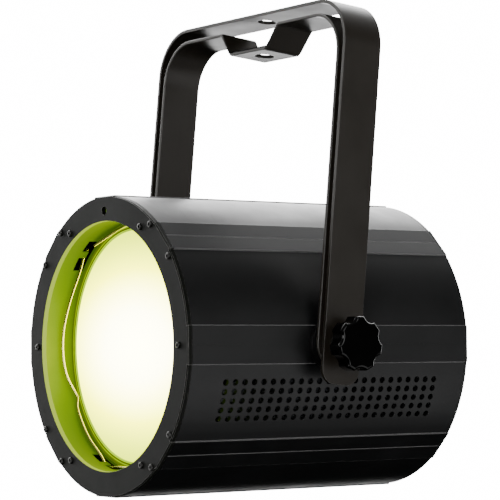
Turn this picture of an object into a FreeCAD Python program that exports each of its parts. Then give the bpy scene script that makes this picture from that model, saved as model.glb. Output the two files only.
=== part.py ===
import FreeCAD, Part
import math
import os
import re

import Sketcher
from FreeCAD import Placement, Rotation, Vector

# LED par can light on a double bracket. Millimetres, +Z up, the beam leaves along -Y.
# The origin is the centre of the hanging hole, on the top face of the outer bracket.
# The lamp's own frame, in which all lamp pieces are drawn, has Y along the beam axis with
# y = 0 on the front face of the ring, Z up and X towards the right-hand knob.

doc = FreeCAD.newDocument("par_can")
sheet = doc.addObject("Spreadsheet::Sheet", "Sizes")

SIZES = [
    # can
    ("flat_radius", 120, "axis to the face of each flat rib"),
    ("lamp_length", 277, "front of the ring to the back of the rear panel"),
    ("rib_width", 30, "width of a flat rib"),
    ("wall", 3, "thickness of the extruded can wall"),
    ("groove_width", 0.8, "line along the middle of each rib"),
    ("groove_depth", 0.6, "depth of that line"),
    ("seam", 0.3, "gap between neighbouring can quarters, and behind the ring"),
    ("edge_chamfer", 0.8, "chamfer round the ring and the rear panel"),
    ("ring_thickness", 4, "front ring plate"),
    ("panel_thickness", 3, "rear panel plate"),
    ("ring_width", 20, "front ring, from its opening to the flats"),
    # screws of the can
    ("rim_inset", 4, "can flats to the circle of rim screws"),
    ("rim_angle", 36, "rim screws to each side of a quarter's middle, degrees"),
    ("flange_screw_inset", 13, "can flats to the circle of snoot flange screws"),
    ("screw_radius", 1.5, "M3 shank"),
    ("screw_head_radius", 2.75, "M3 button head"),
    ("screw_head_height", 1.6, "M3 button head"),
    ("screw_head_round", 0.72, "rounding of the button head"),
    ("socket_radius", 0.9, "hex socket of the head, as a round hole"),
    ("socket_depth", 1, "hex socket of the head"),
    ("screw_length", 10, "M3 shank below the head"),
    ("screw_clearance", 0.2, "hole radius over shank radius"),
    ("port_radius", 3.4, "screw port in the can wall, outside radius"),
    ("top_hole_radius", 3.6, "plain hole at the top of the ring"),
    ("top_hole_inset", 11.8, "top flat to that hole"),
    # vents
    ("vent_radius", 2.6, "one vent hole"),
    ("vent_pitch", 8.95, "vent spacing along the can"),
    ("vent_rows", 5, "rows of vents on each side"),
    ("vent_end", 34, "room kept between the last vent and the back"),
    ("vent_first", 37, "front face to the first vent column"),
    ("vent_top_angle", 13.9, "first vent row below the side rib, degrees"),
    ("vent_row_angle", 3.6, "angle between vent rows, degrees"),
    # snoot and lens
    ("snoot_clearance", 0.4, "snoot bore over the ring opening"),
    ("snoot_wall", 1.2, "sheet thickness of the snoot"),
    ("flange_inset", 9, "can flats to the edge of the snoot flange"),
    ("gasket_front", 28.5, "front face to the gasket"),
    ("gasket_lip", 1.2, "thickness of the gasket lips"),
    ("gasket_reach", 6.5, "gasket lips inside the ring opening"),
    ("lens_inset", 2, "ring opening to the edge of the lens"),
    ("lens_thickness", 4, "diffuser lens"),
    ("window_length", 36, "snoot window round the wall"),
    ("window_margin", 1.3, "snoot window to the gasket"),
    ("window_depth", 10, "snoot window along the beam"),
    ("tab_width", 7, "tab inside a window"),
    ("tab_depth", 6.4, "tab inside a window"),
    ("window_angle", 11, "first window, degrees up from the right"),
    ("wire_radius", 1.1, "lens retaining wire"),
    # optics and cooling
    ("reflector_wall", 1, "spun reflector"),
    ("reflector_rear_radius", 27, "reflector at the emitter"),
    ("holder_depth", 4, "reflector to the LED board"),
    ("emitter_radius", 20, "LED emitter"),
    ("board_size", 62, "LED board side"),
    ("board_thickness", 2, "LED board"),
    ("emitter_thickness", 2, "LED emitter"),
    ("sink_clearance", 21, "can wall to the corners of the heat sink"),
    ("supply_gap", 12, "heat sink and fan to the power supply"),
    ("sink_base", 8, "heat sink base plate"),
    ("sink_depth", 69, "heat sink from its face to the fin tips"),
    ("fin_count", 19, "heat sink fins"),
    ("fin_thickness", 2, "one fin"),
    ("fan_rim", 2.5, "least width of the fan frame round its air passage"),
    ("fan_screw_inset", 7.5, "edge of the fan frame to its screw holes"),
    ("fan_screw_radius", 2.2, "fan screw holes"),
    ("fan_strut", 4, "width of the struts that hold the fan motor"),
    ("fan_blades", 7, "fan blades"),
    ("fan_blade_thickness", 2, "one fan blade"),
    ("fan_blade_pitch", 48, "twist of the blades against the beam axis, degrees"),
    ("fan_blade_lap", 1, "blade roots inside the hub"),
    ("rotor_depth", 16.7, "fan rotor along the beam"),
    ("rotor_gap", 1, "front of the fan frame to the rotor"),
    ("fan_plate", 4.2, "flange plates of the fan frame"),
    ("fan_depth", 25, "fan frame along the beam"),
    ("rear_room", 59, "fan to the rear panel"),
    ("fan_tip_clearance", 1.5, "blade tips to the air passage"),
    ("fan_hub_radius", 20, "fan hub"),
    # pivot and brackets
    ("pivot_inset", 14.3, "front of the heat sink to the pivot axis"),
    ("stud_radius", 4, "M8 stud"),
    ("stud_clearance", 0.3, "hole radius over stud radius"),
    ("stud_inside", 12, "stud past the can flats, inwards"),
    ("spacer_radius", 21, "spacer between can and inner bracket"),
    ("spacer_thickness", 4.2, "spacer between can and inner bracket"),
    ("arm_washer_radius", 15, "washer between the two brackets"),
    ("arm_washer_thickness", 5.1, "washer between the two brackets"),
    ("turning_gap", 0.2, "face to face gap where pieces turn on each other"),
    ("clamp_washer_radius", 12, "washer under the knob"),
    ("clamp_washer_thickness", 1.6, "washer under the knob"),
    ("strap_width", 36, "both bracket straps"),
    ("strap_thickness", 3, "both bracket straps"),
    ("outer_height", 277, "pivot axis to the top face of the outer bracket"),
    ("outer_bend", 39, "outside bend radius of the outer bracket"),
    ("outer_foot", 32, "outer bracket below the pivot axis"),
    ("foot_corner", 12, "corner radius at the outer bracket's ends"),
    ("inner_end_flat", 0.1, "flat left at the tip of each round end of the inner bracket"),
    ("bracket_step", 10.6, "top face of the outer bracket down to that of the inner one"),
    ("inner_bend", 36, "outside bend radius of the inner bracket"),
    ("hat_drop", 18.6, "depth of the dropped middle of the inner bracket"),
    ("hat_bottom_half", 27, "half width of the dropped middle, top face"),
    ("hat_top_half", 40.2, "half width where the drop begins, top face"),
    ("hat_bend", 5, "outside bend radius of the dropped middle"),
    ("hang_radius", 8, "hanging holes"),
    ("bracket_lean", 5.6, "brackets lean back from upright at rest, degrees"),
    ("bush_radius", 9, "pivot bush"),
    ("plate_thickness", 8, "pivot plate inside the can"),
    ("plate_height", 46, "pivot plate"),
    ("plate_length", 60, "pivot plate along the can"),
    ("plate_clearance", 0.6, "pivot plate corner to the can wall"),
    ("bush_inside", 4, "pivot bush past its plate, inwards"),
    ("bush_clearance", 0.5, "hole radius over bush radius in the core bracket"),
    ("angle_thickness", 2, "sheet of the core bracket"),
    ("angle_lap", 14, "core bracket over the front of the heat sink"),
    ("angle_inset", 3, "edge of the pivot plate to that of the core bracket"),
    # knob
    ("knob_radius", 21.5, "star knob over its lobes"),
    ("knob_head", 13.5, "star knob head depth"),
    ("knob_hub_radius", 11, "star knob hub"),
    ("knob_hub", 8.6, "star knob hub length"),
    ("knob_lobes", 7, "lobes of the star knob"),
    ("knob_socket", 8.1, "stud inside the knob head"),
    ("knob_face_round", 2.25, "rounding round the face of the knob"),
    ("knob_back_round", 1.5, "rounding round the back of the knob head"),
    ("scallop_radius", 8.5, "hollow between two lobes"),
    ("scallop_centre", 5.7, "centre of such a hollow past the lobes"),
    # rear
    ("button_radius", 4.4, "menu button"),
    ("button_pitch", 18, "menu button spacing"),
    ("button_drop", 24, "display down to the menu buttons"),
    ("button_stem", 2, "radius of the button stem that meets the switch"),
    ("button_flange", 1.2, "flange that keeps a button behind the panel"),
    ("button_travel", 1, "press of a button"),
    ("switch_height", 4, "push switch on the control board"),
    ("switch_size", 6, "push switch on the control board"),
    ("board_gap", 11, "control board to the rear panel"),
    ("circuit_thickness", 1.6, "control board"),
    ("circuit_width", 92, "control board"),
    ("circuit_height", 54, "control board"),
    ("circuit_drop", 13, "display down to the middle of the control board"),
    ("post_inset", 4, "corner of the control board to its posts"),
    ("post_radius", 3, "posts of the control board"),
    ("button_proud", 2.5, "menu button past the rear panel"),
    ("button_clearance", 0.3, "panel hole radius over button radius"),
    ("button_dome", 0.8, "rounding of the button face"),
    ("display_width", 52, "display window"),
    ("display_height", 22, "display window"),
    ("display_drop", 28, "safety eye down to the display"),
    ("display_clearance", 0.2, "window to its cut-out"),
    ("display_border", 4, "display module past its window"),
    ("data_spacing", 60, "data connectors, centre to centre"),
    ("data_drop", 35, "menu buttons down to the data connectors"),
    ("data_barrel_radius", 11.8, "data connector barrel"),
    ("data_flange_width", 26, "data connector flange"),
    ("data_flange_height", 31, "data connector flange"),
    ("data_flange_thickness", 2.2, "data connector flange"),
    ("data_corner", 2.5, "corner radius of that flange"),
    ("data_screw_across", 9.5, "data connector centre across to its screws"),
    ("data_screw_up", 12, "data connector centre up to its screws"),
    ("data_bore_radius", 9.3, "hollow of the data connectors"),
    ("data_depth", 15, "back of the panel to the bottom of that hollow"),
    ("data_gap", 2.1, "ring-shaped gap of the data outlet"),
    ("data_contact_circle", 4.8, "circle of the data contacts"),
    ("data_contact_radius", 1.2, "data contact"),
    ("contact_inset", 4, "tips of pins and blades below the back of the panel"),
    ("connector_inside", 20, "connector bodies inside the can, from the back"),
    ("latch_width", 7.8, "latch of the data outlet"),
    ("latch_height", 2.8, "latch of the data outlet"),
    ("latch_level", 13, "data connector centre to its latch"),
    ("latch_proud", 1.6, "latch past its flange"),
    ("power_spacing", 76, "power connectors, centre to centre"),
    ("power_level", -48, "power connectors below the beam axis"),
    ("power_body_width", 27.5, "power connector through the panel"),
    ("power_body_height", 20, "power connector through the panel"),
    ("power_flange_width", 50, "power connector flange"),
    ("power_flange_height", 24, "power connector flange"),
    ("power_flange_thickness", 2.5, "power connector flange"),
    ("power_corner", 4, "corner radius of that flange"),
    ("power_screw_across", 20, "power connector centre to its screws"),
    ("power_wall", 2, "wall round the hollow of the power inlet"),
    ("power_depth", 14, "back of the panel to the bottom of that hollow"),
    ("blade_spacing", 7, "middle blade to an outer blade, across"),
    ("blade_rise", 2, "outer blades above the middle of the connector"),
    ("blade_width", 2, "power blade"),
    ("blade_height", 4, "power blade"),
    ("cutout_clearance", 0.2, "panel cut-out to connector body"),
    ("louvre_width", 3, "air slot in the rear panel"),
    ("louvre_height", 30, "air slot in the rear panel"),
    ("louvre_pitch", 7, "air slot spacing"),
    ("fuse_radius", 6.5, "fuse holder barrel"),
    ("fuse_lip", 2, "fuse cap past its barrel"),
    ("fuse_cap", 4, "fuse cap behind the panel"),
    ("fuse_slot", 1.6, "screwdriver slot of the fuse cap"),
    ("fuse_inside", 24, "fuse holder inside the can, from the back"),
    ("fuse_level", -80, "fuse holder below the beam axis"),
    ("eye_wire", 2.5, "safety eye rod radius"),
    ("eye_collar", 4, "collar on each leg of the safety eye"),
    ("eye_half_width", 11, "safety eye, centre to rod centre"),
    ("eye_inset", 28, "top flat down to the safety eye"),
    ("eye_reach", 20, "safety eye past the rear panel"),
    ("supply_width", 88, "power supply case"),
    ("supply_height", 32, "power supply case"),
    ("supply_length", 110, "power supply case"),
    ("supply_clearance", 4.4, "can wall to the corners of the power supply"),
    ("supply_rear_room", 36, "power supply to the rear panel"),
    ("leg_inset", 10, "side of the power supply to its legs"),
    ("leg_radius", 3.5, "legs of the power supply"),
]
for number, (alias, amount, meaning) in enumerate(SIZES, start=1):
    sheet.set(f"A{number}", alias)
    sheet.set(f"B{number}", str(amount))
    sheet.set(f"C{number}", meaning)
    sheet.setAlias(f"B{number}", alias)
doc.recompute()

# ---- places that follow from those sizes, each a formula of aliases ----
MOUTH = "(flat_radius - ring_width)"
RIM_CIRCLE = "(flat_radius - rim_inset)"
FLANGE_CIRCLE = "(flat_radius - flange_screw_inset)"
FLANGE_RADIUS = "(flat_radius - flange_inset)"
TOP_HOLE_LEVEL = "(flat_radius - top_hole_inset)"
SCREW_HOLE = "(screw_radius + screw_clearance)"
STUD_HOLE = "(stud_radius + stud_clearance)"
QUARTER_START = "(ring_thickness + seam)"
PANEL_FRONT = "(lamp_length - panel_thickness)"
QUARTER_LENGTH = f"({PANEL_FRONT} - ring_thickness - 2 * seam)"

SNOOT_BORE = f"({MOUTH} + snoot_clearance)"
SNOOT_OUTSIDE = f"({MOUTH} + snoot_clearance + snoot_wall)"
SNOOT_FRONT = "ring_thickness"
LENS_FRONT = "(gasket_front + gasket_lip)"
LENS_REAR = "(gasket_front + gasket_lip + lens_thickness)"
LENS_RADIUS = f"({MOUTH} - lens_inset)"
GASKET_INNER = f"({MOUTH} - gasket_reach)"
GASKET_REAR = "(gasket_front + 2 * gasket_lip + lens_thickness)"
SNOOT_REAR = f"({GASKET_REAR} + snoot_wall)"
WINDOW_FRONT = "(gasket_front - window_margin - window_depth)"

FAN_FRONT = f"({PANEL_FRONT} - rear_room - fan_depth)"
SINK_FRONT = f"({FAN_FRONT} - seam - sink_depth)"
BOARD_FRONT = f"({SINK_FRONT} - board_thickness)"
REFLECTOR_FRONT = f"({SNOOT_REAR} + seam)"
REFLECTOR_REAR = f"({BOARD_FRONT} - holder_depth)"
PIVOT_Y = f"({SINK_FRONT} + pivot_inset)"
SUPPLY_BOTTOM = "(sqrt((flat_radius - wall)^2 - (supply_width / 2)^2) - supply_clearance)"
SINK_HALF_HEIGHT = f"({SUPPLY_BOTTOM} - supply_height - supply_gap)"
SINK_HALF_WIDTH = f"sqrt((flat_radius - wall - sink_clearance)^2 - {SINK_HALF_HEIGHT}^2)"
FAN_BORE = f"({SINK_HALF_HEIGHT} - fan_rim)"

PLATE_INNER = "(sqrt((flat_radius - wall - plate_clearance)^2 - (plate_height / 2)^2) - plate_thickness)"
INNER_ARM = "(flat_radius + spacer_thickness + turning_gap)"
OUTER_ARM = f"({INNER_ARM} + strap_thickness + arm_washer_thickness + turning_gap)"
CLAMP_FACE = f"({OUTER_ARM} + strap_thickness + turning_gap / 2)"
KNOB_FACE = f"({CLAMP_FACE} + clamp_washer_thickness)"
INNER_TOP = "(outer_height - bracket_step)"
EYE_LEVEL = "(flat_radius - eye_inset)"
DISPLAY_LEVEL = f"({EYE_LEVEL} - display_drop)"
CIRCUIT_LEVEL = f"({DISPLAY_LEVEL} - circuit_drop)"
BUTTON_LEVEL = f"({DISPLAY_LEVEL} - button_drop)"
DATA_LEVEL = f"({BUTTON_LEVEL} - data_drop)"

ALIASES = re.compile(r"\b(" + "|".join(alias for alias, _, _ in SIZES) + r")\b")
SUB_PARTS = []


def size(formula):
    """The value of a formula of sheet aliases, such as "flat_radius - wall"."""
    return float(sheet.evalExpression(ALIASES.sub(r"Sizes.\1", formula)))


def bind(item, field, formula):
    """Tie a property or constraint of an object to a formula of sheet aliases."""
    item.setExpression(field, ALIASES.sub(r"Sizes.\1", formula))


# ---- frames: the pivot hangs below the hanging hole, along the leaning brackets ----
LEAN = Rotation(Vector(1, 0, 0), -size("bracket_lean"))
PIVOT = LEAN.multVec(Vector(0, 0, -size("outer_height")))
BRACKETS = Placement(PIVOT, LEAN)
LAMP = Placement(PIVOT - Vector(0, size(PIVOT_Y), 0), Rotation())
AXIS_TO_X = Rotation(Vector(0, 1, 0), Vector(1, 0, 0))
AXIS_TO_MINUS_X = Rotation(Vector(0, 1, 0), Vector(-1, 0, 0))


def on_side(side, distance):
    """Frame of a turned piece on the pivot axis, drawn along Y, at a distance from the beam axis."""
    turn = AXIS_TO_X if side > 0 else AXIS_TO_MINUS_X
    return LAMP.multiply(Placement(Vector(side * distance, size(PIVOT_Y), 0), turn))


# ---- helpers for sketches and features ----
def finish(item, label, frame):
    """Name a finished sub-part and put it in its place."""
    item.Label = label
    item.Placement = frame
    SUB_PARTS.append(item)
    return item


def new_body(name):
    return doc.addObject("PartDesign::Body", name + "_body")


def origin_item(body, role):
    return next(item for item in body.Origin.OriginFeatures if item.Role == role)


def new_sketch(body, name, role, offset=None):
    sketch = body.newObject("Sketcher::SketchObject", name)
    sketch.AttachmentSupport = (origin_item(body, role), [""])
    sketch.MapMode = "FlatFace"
    if offset is not None:
        sketch.AttachmentOffset = offset
    return sketch


def outline(sketch, corners):
    """A closed outline whose corners are pairs of formulas."""
    first = sketch.GeometryCount
    spots = [Vector(size(across), size(up), 0) for across, up in corners]
    for number, spot in enumerate(spots):
        sketch.addGeometry(Part.LineSegment(spot, spots[(number + 1) % len(spots)]))
    for number, (across, up) in enumerate(corners):
        edge = first + number
        after = first + (number + 1) % len(corners)
        sketch.addConstraint(Sketcher.Constraint("Coincident", edge, 2, after, 1))
        for kind, formula in (("DistanceX", across), ("DistanceY", up)):
            rule = sketch.addConstraint(Sketcher.Constraint(kind, edge, 1, size(formula)))
            bind(sketch, f"Constraints[{rule}]", formula)


def circle(sketch, across, up, radius):
    """A circle whose centre and radius are formulas."""
    spot = Vector(size(across), size(up), 0)
    edge = sketch.addGeometry(Part.Circle(spot, Vector(0, 0, 1), size(radius)))
    rules = (("DistanceX", across), ("DistanceY", up))
    for kind, formula in rules:
        rule = sketch.addConstraint(Sketcher.Constraint(kind, edge, 3, size(formula)))
        bind(sketch, f"Constraints[{rule}]", formula)
    rule = sketch.addConstraint(Sketcher.Constraint("Radius", edge, size(radius)))
    bind(sketch, f"Constraints[{rule}]", radius)


def polar(radius, angle):
    """Formulas of a point at a radius and an angle in degrees, counted up from +X."""
    return f"({radius}) * cos(({angle}) * 1 deg)", f"({radius}) * sin(({angle}) * 1 deg)"


def rectangle(sketch, across, up, width, height):
    """A rectangle about a centre; all four are formulas."""
    left, right = f"{across} - ({width}) / 2", f"{across} + ({width}) / 2"
    low, high = f"{up} - ({height}) / 2", f"{up} + ({height}) / 2"
    outline(sketch, [(left, low), (right, low), (right, high), (left, high)])


def slab(body, name, start, length, draw):
    """Pad a sketch drawn across the beam axis, from y = start towards the rear."""
    sketch = new_sketch(body, name + "_sketch", "XZ_Plane")
    bind(sketch, "AttachmentOffset.Base.z", f"-({start})")
    draw(sketch)
    pad = body.newObject("PartDesign::Pad", name)
    pad.Profile = sketch
    pad.Reversed = True
    bind(pad, "Length", length)
    doc.recompute()
    return pad


def slot_through(body, name, start, length, draw):
    """Pocket a sketch drawn across the beam axis, from y = start towards the rear."""
    before = body.Shape.Volume
    sketch = new_sketch(body, name + "_sketch", "XZ_Plane")
    bind(sketch, "AttachmentOffset.Base.z", f"-({start})")
    draw(sketch)
    pocket = body.newObject("PartDesign::Pocket", name)
    pocket.Profile = sketch
    bind(pocket, "Length", length)
    doc.recompute()
    if not body.Shape.Volume < before - 1e-6:
        raise RuntimeError(f"{name} cuts nothing")
    return pocket


def around_beam(body, name, feature, count, angle=360.0, backwards=False):
    """Repeat a feature round the body's Y axis."""
    pattern = body.newObject("PartDesign::PolarPattern", name)
    pattern.Originals = [feature]
    pattern.Axis = (origin_item(body, "Y_Axis"), [""])
    pattern.Angle = angle
    pattern.Occurrences = count
    pattern.Reversed = backwards
    body.Tip = pattern
    doc.recompute()
    return pattern


def turned(name, corners):
    """A body turned round Y; each corner is (radius, y)."""
    body = new_body(name)
    sketch = new_sketch(body, name + "_profile", "XY_Plane")
    outline(sketch, corners)
    spin = body.newObject("PartDesign::Revolution", name + "_turned")
    spin.Profile = sketch
    spin.ReferenceAxis = (sketch, ["V_Axis"])
    spin.Angle = 360
    doc.recompute()
    return body


def tube_corners(inner, outer, low, high):
    return [(inner, low), (outer, low), (outer, high), (inner, high)]


def edges_near(shape, test):
    return [f"Edge{number}" for number, edge in enumerate(shape.Edges, start=1) if test(edge)]


def dress(body, kind, name, test, radius):
    """Fillet or chamfer the edges of the body's tip that pass a test."""
    base = body.Tip
    picked = edges_near(base.Shape, test)
    if not picked:
        raise RuntimeError(f"{name} finds no edge")
    feature = body.newObject(f"PartDesign::{kind}", name)
    feature.Base = (base, picked)
    bind(feature, "Radius" if kind == "Fillet" else "Size", radius)
    doc.recompute()
    return feature


def on_face(y, tolerance=1e-4):
    """Test: the whole edge lies in the plane at this y."""
    return lambda edge: max(abs(edge.BoundBox.YMin - y), abs(edge.BoundBox.YMax - y)) < tolerance


def block(name, width, length, height):
    """Part box; width along X, length along Y, height along Z."""
    box = doc.addObject("Part::Box", name)
    for field, formula in (("Length", width), ("Width", length), ("Height", height)):
        bind(box, field, formula)
    return box


def rod(name, radius, length):
    """Part cylinder along its own Z."""
    cylinder = doc.addObject("Part::Cylinder", name)
    bind(cylinder, "Radius", radius)
    bind(cylinder, "Height", length)
    return cylinder


def grouped(name, shapes):
    """Several loose solids kept together, such as a set of like screws."""
    group = doc.addObject("Part::Feature", name)
    group.Shape = Part.makeCompound(shapes)
    return group


ALONG_Y = Rotation(Vector(0, 0, 1), Vector(0, 1, 0))
RIM_ANGLES = [90 * quarter + sign * size("rim_angle") for quarter in range(4) for sign in (-1, 1)]
FLANGE_ANGLES = [60 * number for number in range(6)]


# ---- can: front ring, four quarter extrusions, rear panel ----
def ribbed_plate(body, name, start, thickness):
    """A plate with the can's outline: a circle with eight flats that stand just proud of it."""
    slab(body, name + "_disc", start, thickness, lambda sketch: circle(sketch, "0", "0", "flat_radius"))
    flats = slab(body, name + "_flats", start, thickness,
                 lambda sketch: rectangle(sketch, "flat_radius / 2", "0", "flat_radius", "rib_width"))
    around_beam(body, name + "_flats_round", flats, 8)


def rim_holes(body, name, start, thickness):
    def draw(sketch):
        for angle in RIM_ANGLES:
            circle(sketch, *polar(RIM_CIRCLE, angle), SCREW_HOLE)
    slot_through(body, name + "_rim_holes", start, thickness, draw)


def is_outer_edge(y):
    """Test: an edge of the outline of a plate, in the face at this y."""
    reach = size("flat_radius") * 0.99
    face = on_face(y)
    return lambda edge: face(edge) and all(math.hypot(v.X, v.Z) > reach for v in edge.Vertexes)


def front_ring():
    body = new_body("front_ring")
    ribbed_plate(body, "ring", "0", "ring_thickness")
    slot_through(body, "mouth", "0", "ring_thickness",
                 lambda sketch: circle(sketch, "0", "0", MOUTH))
    rim_holes(body, "ring", "0", "ring_thickness")

    def draw(sketch):
        for angle in FLANGE_ANGLES:
            circle(sketch, *polar(FLANGE_CIRCLE, angle), SCREW_HOLE)
        circle(sketch, "0", TOP_HOLE_LEVEL, "top_hole_radius")
    slot_through(body, "flange_holes", "0", "ring_thickness", draw)
    dress(body, "Chamfer", "ring_chamfer", is_outer_edge(0), "edge_chamfer")
    finish(body, "front_ring", LAMP)


def can_quarter(label, turn, vent_side=0):
    """One 90 degree extrusion drawn about +X, then turned round the beam axis into place.
    vent_side is +1 or -1 for a side quarter, whose vents go below or above +X before the turn."""
    body = new_body(label)

    def wall(sketch):
        circle(sketch, "0", "0", "flat_radius")
        circle(sketch, "0", "0", "flat_radius - wall")
    slab(body, label + "_wall", QUARTER_START, QUARTER_LENGTH, wall)
    rib = slab(body, label + "_rib", QUARTER_START, QUARTER_LENGTH,
               lambda sketch: rectangle(sketch, "flat_radius - wall / 2", "0", "wall", "rib_width"))
    around_beam(body, label + "_ribs", rib, 8)

    def wedge(sketch):
        reach = "2 * flat_radius"
        inset = "seam * sqrt(2) / 2"
        outline(sketch, [(inset, "0"), (f"{reach} + {inset}", reach), (f"-({reach})", reach),
                         (f"-({reach})", f"-({reach})"), (f"{reach} + {inset}", f"-({reach})")])
    slot_through(body, label + "_sides", QUARTER_START, QUARTER_LENGTH, wedge)

    def ports(sketch):
        for sign in (-1, 1):
            circle(sketch, *polar(RIM_CIRCLE, f"{sign} * rim_angle"), "port_radius")
    slab(body, label + "_ports", QUARTER_START, QUARTER_LENGTH, ports)

    def port_bores(sketch):
        for sign in (-1, 1):
            circle(sketch, *polar(RIM_CIRCLE, f"{sign} * rim_angle"), SCREW_HOLE)
    slot_through(body, label + "_port_bores", QUARTER_START, QUARTER_LENGTH, port_bores)

    def lines(sketch):
        rectangle(sketch, "flat_radius", "0", "2 * groove_depth", "groove_width")
    slot_through(body, label + "_line", QUARTER_START, QUARTER_LENGTH, lines)

    if vent_side:
        tilt = vent_side * size("vent_top_angle")
        columns = 1 + int(size("(lamp_length - vent_first - vent_end) / vent_pitch"))
        row = new_sketch(body, label + "_vent_row", "YZ_Plane",
                         Placement(Vector(), Rotation(Vector(1, 0, 0), tilt)))
        for column in range(columns):
            circle(row, f"vent_first + {column} * vent_pitch", "0", "vent_radius")
        vents = body.newObject("PartDesign::Pocket", label + "_vents")
        vents.Profile = row
        vents.Type = "ThroughAll"
        vents.Reversed = True
        doc.recompute()
        span = size("(vent_rows - 1) * vent_row_angle")
        around_beam(body, label + "_vent_rows", vents, int(size("vent_rows")), span, vent_side < 0)
        bore = new_sketch(body, label + "_pivot_hole", "YZ_Plane")
        circle(bore, PIVOT_Y, "0", "bush_radius")
        pivot = body.newObject("PartDesign::Pocket", label + "_pivot")
        pivot.Profile = bore
        pivot.Type = "ThroughAll"
        pivot.Reversed = True
        doc.recompute()
    frame = LAMP.multiply(Placement(Vector(), Rotation(Vector(0, 1, 0), -turn)))
    finish(body, label, frame)


def screw_shape(spot, direction, length):
    """A button head screw: its head stands on the spot, its shank runs along the direction."""
    head = Part.makeCylinder(size("screw_head_radius"), size("screw_head_height"), spot, -direction)
    rim = [edge for edge in head.Edges if edge.Closed and edge.CenterOfMass.distanceToPoint(spot) > 0.1]
    head = head.makeFillet(size("screw_head_round"), rim)
    top = spot - direction * size("screw_head_height")
    socket = Part.makeCylinder(size("socket_radius"), size("socket_depth"), top, direction)
    shank = Part.makeCylinder(size("screw_radius"), length, spot, direction)
    return head.cut(socket).fuse(shank)


def ring_spots(radius, angles, y):
    spots = []
    for angle in angles:
        turn = math.radians(angle)
        spots.append(Vector(radius * math.cos(turn), y, radius * math.sin(turn)))
    return spots


def can_screws():
    rear = Vector(0, 1, 0)
    length = size("screw_length")
    rim = [screw_shape(spot, rear, length) for spot in ring_spots(size(RIM_CIRCLE), RIM_ANGLES, 0)]
    finish(grouped("rim_screws_group", rim), "ring_rim_screws", LAMP)
    short = size("ring_thickness + snoot_wall + screw_radius")
    flange = [screw_shape(spot, rear, short) for spot in ring_spots(size(FLANGE_CIRCLE), FLANGE_ANGLES, 0)]
    finish(grouped("flange_screws_group", flange), "snoot_flange_screws", LAMP)
    back = ring_spots(size(RIM_CIRCLE), RIM_ANGLES, size("lamp_length"))
    finish(grouped("rear_screws_group", [screw_shape(spot, -rear, length) for spot in back]),
           "rear_panel_screws", LAMP)


# ---- snoot, gasket, lens, wire ----
def snoot():
    body = turned("snoot", [
        (SNOOT_BORE, SNOOT_FRONT), (FLANGE_RADIUS, SNOOT_FRONT),
        (FLANGE_RADIUS, f"{SNOOT_FRONT} + snoot_wall"), (SNOOT_OUTSIDE, f"{SNOOT_FRONT} + snoot_wall"),
        (SNOOT_OUTSIDE, SNOOT_REAR), (GASKET_INNER, SNOOT_REAR),
        (GASKET_INNER, GASKET_REAR), (SNOOT_BORE, GASKET_REAR)])

    def holes(sketch):
        for angle in FLANGE_ANGLES:
            circle(sketch, *polar(FLANGE_CIRCLE, angle), SCREW_HOLE)
        circle(sketch, "0", TOP_HOLE_LEVEL, "top_hole_radius")
    slot_through(body, "snoot_holes", SNOOT_FRONT, "snoot_wall", holes)
    turn = Rotation(Vector(1, 0, 0), -size("window_angle"))
    out = Placement(Vector(0, 0, size(FLANGE_RADIUS)), Rotation())
    window = new_sketch(body, "window_sketch", "YZ_Plane", Placement(Vector(), turn).multiply(out))
    low, high = "-window_length / 2", "window_length / 2"
    front, back = WINDOW_FRONT, f"{WINDOW_FRONT} + window_depth"
    tab = f"{WINDOW_FRONT} + tab_depth"
    outline(window, [(front, low), (back, low), (back, high), (front, high),
                     (front, "tab_width / 2"), (tab, "tab_width / 2"), (tab, "-tab_width / 2"),
                     (front, "-tab_width / 2")])
    pocket = body.newObject("PartDesign::Pocket", "window")
    pocket.Profile = window
    bind(pocket, "Length", f"{FLANGE_RADIUS} / 2")
    doc.recompute()
    around_beam(body, "windows", pocket, 3)
    finish(body, "snoot", LAMP)


def lens_and_gasket():
    lens = turned("lens", [("0", LENS_FRONT), (LENS_RADIUS, LENS_FRONT), (LENS_RADIUS, LENS_REAR),
                           ("0", LENS_REAR)])
    finish(lens, "diffuser_lens", LAMP)
    gasket = turned("gasket", [
        (GASKET_INNER, "gasket_front"), (SNOOT_BORE, "gasket_front"), (SNOOT_BORE, GASKET_REAR),
        (GASKET_INNER, GASKET_REAR), (GASKET_INNER, LENS_REAR), (LENS_RADIUS, LENS_REAR),
        (LENS_RADIUS, LENS_FRONT), (GASKET_INNER, LENS_FRONT)])
    finish(gasket, "lens_gasket", LAMP)


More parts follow.
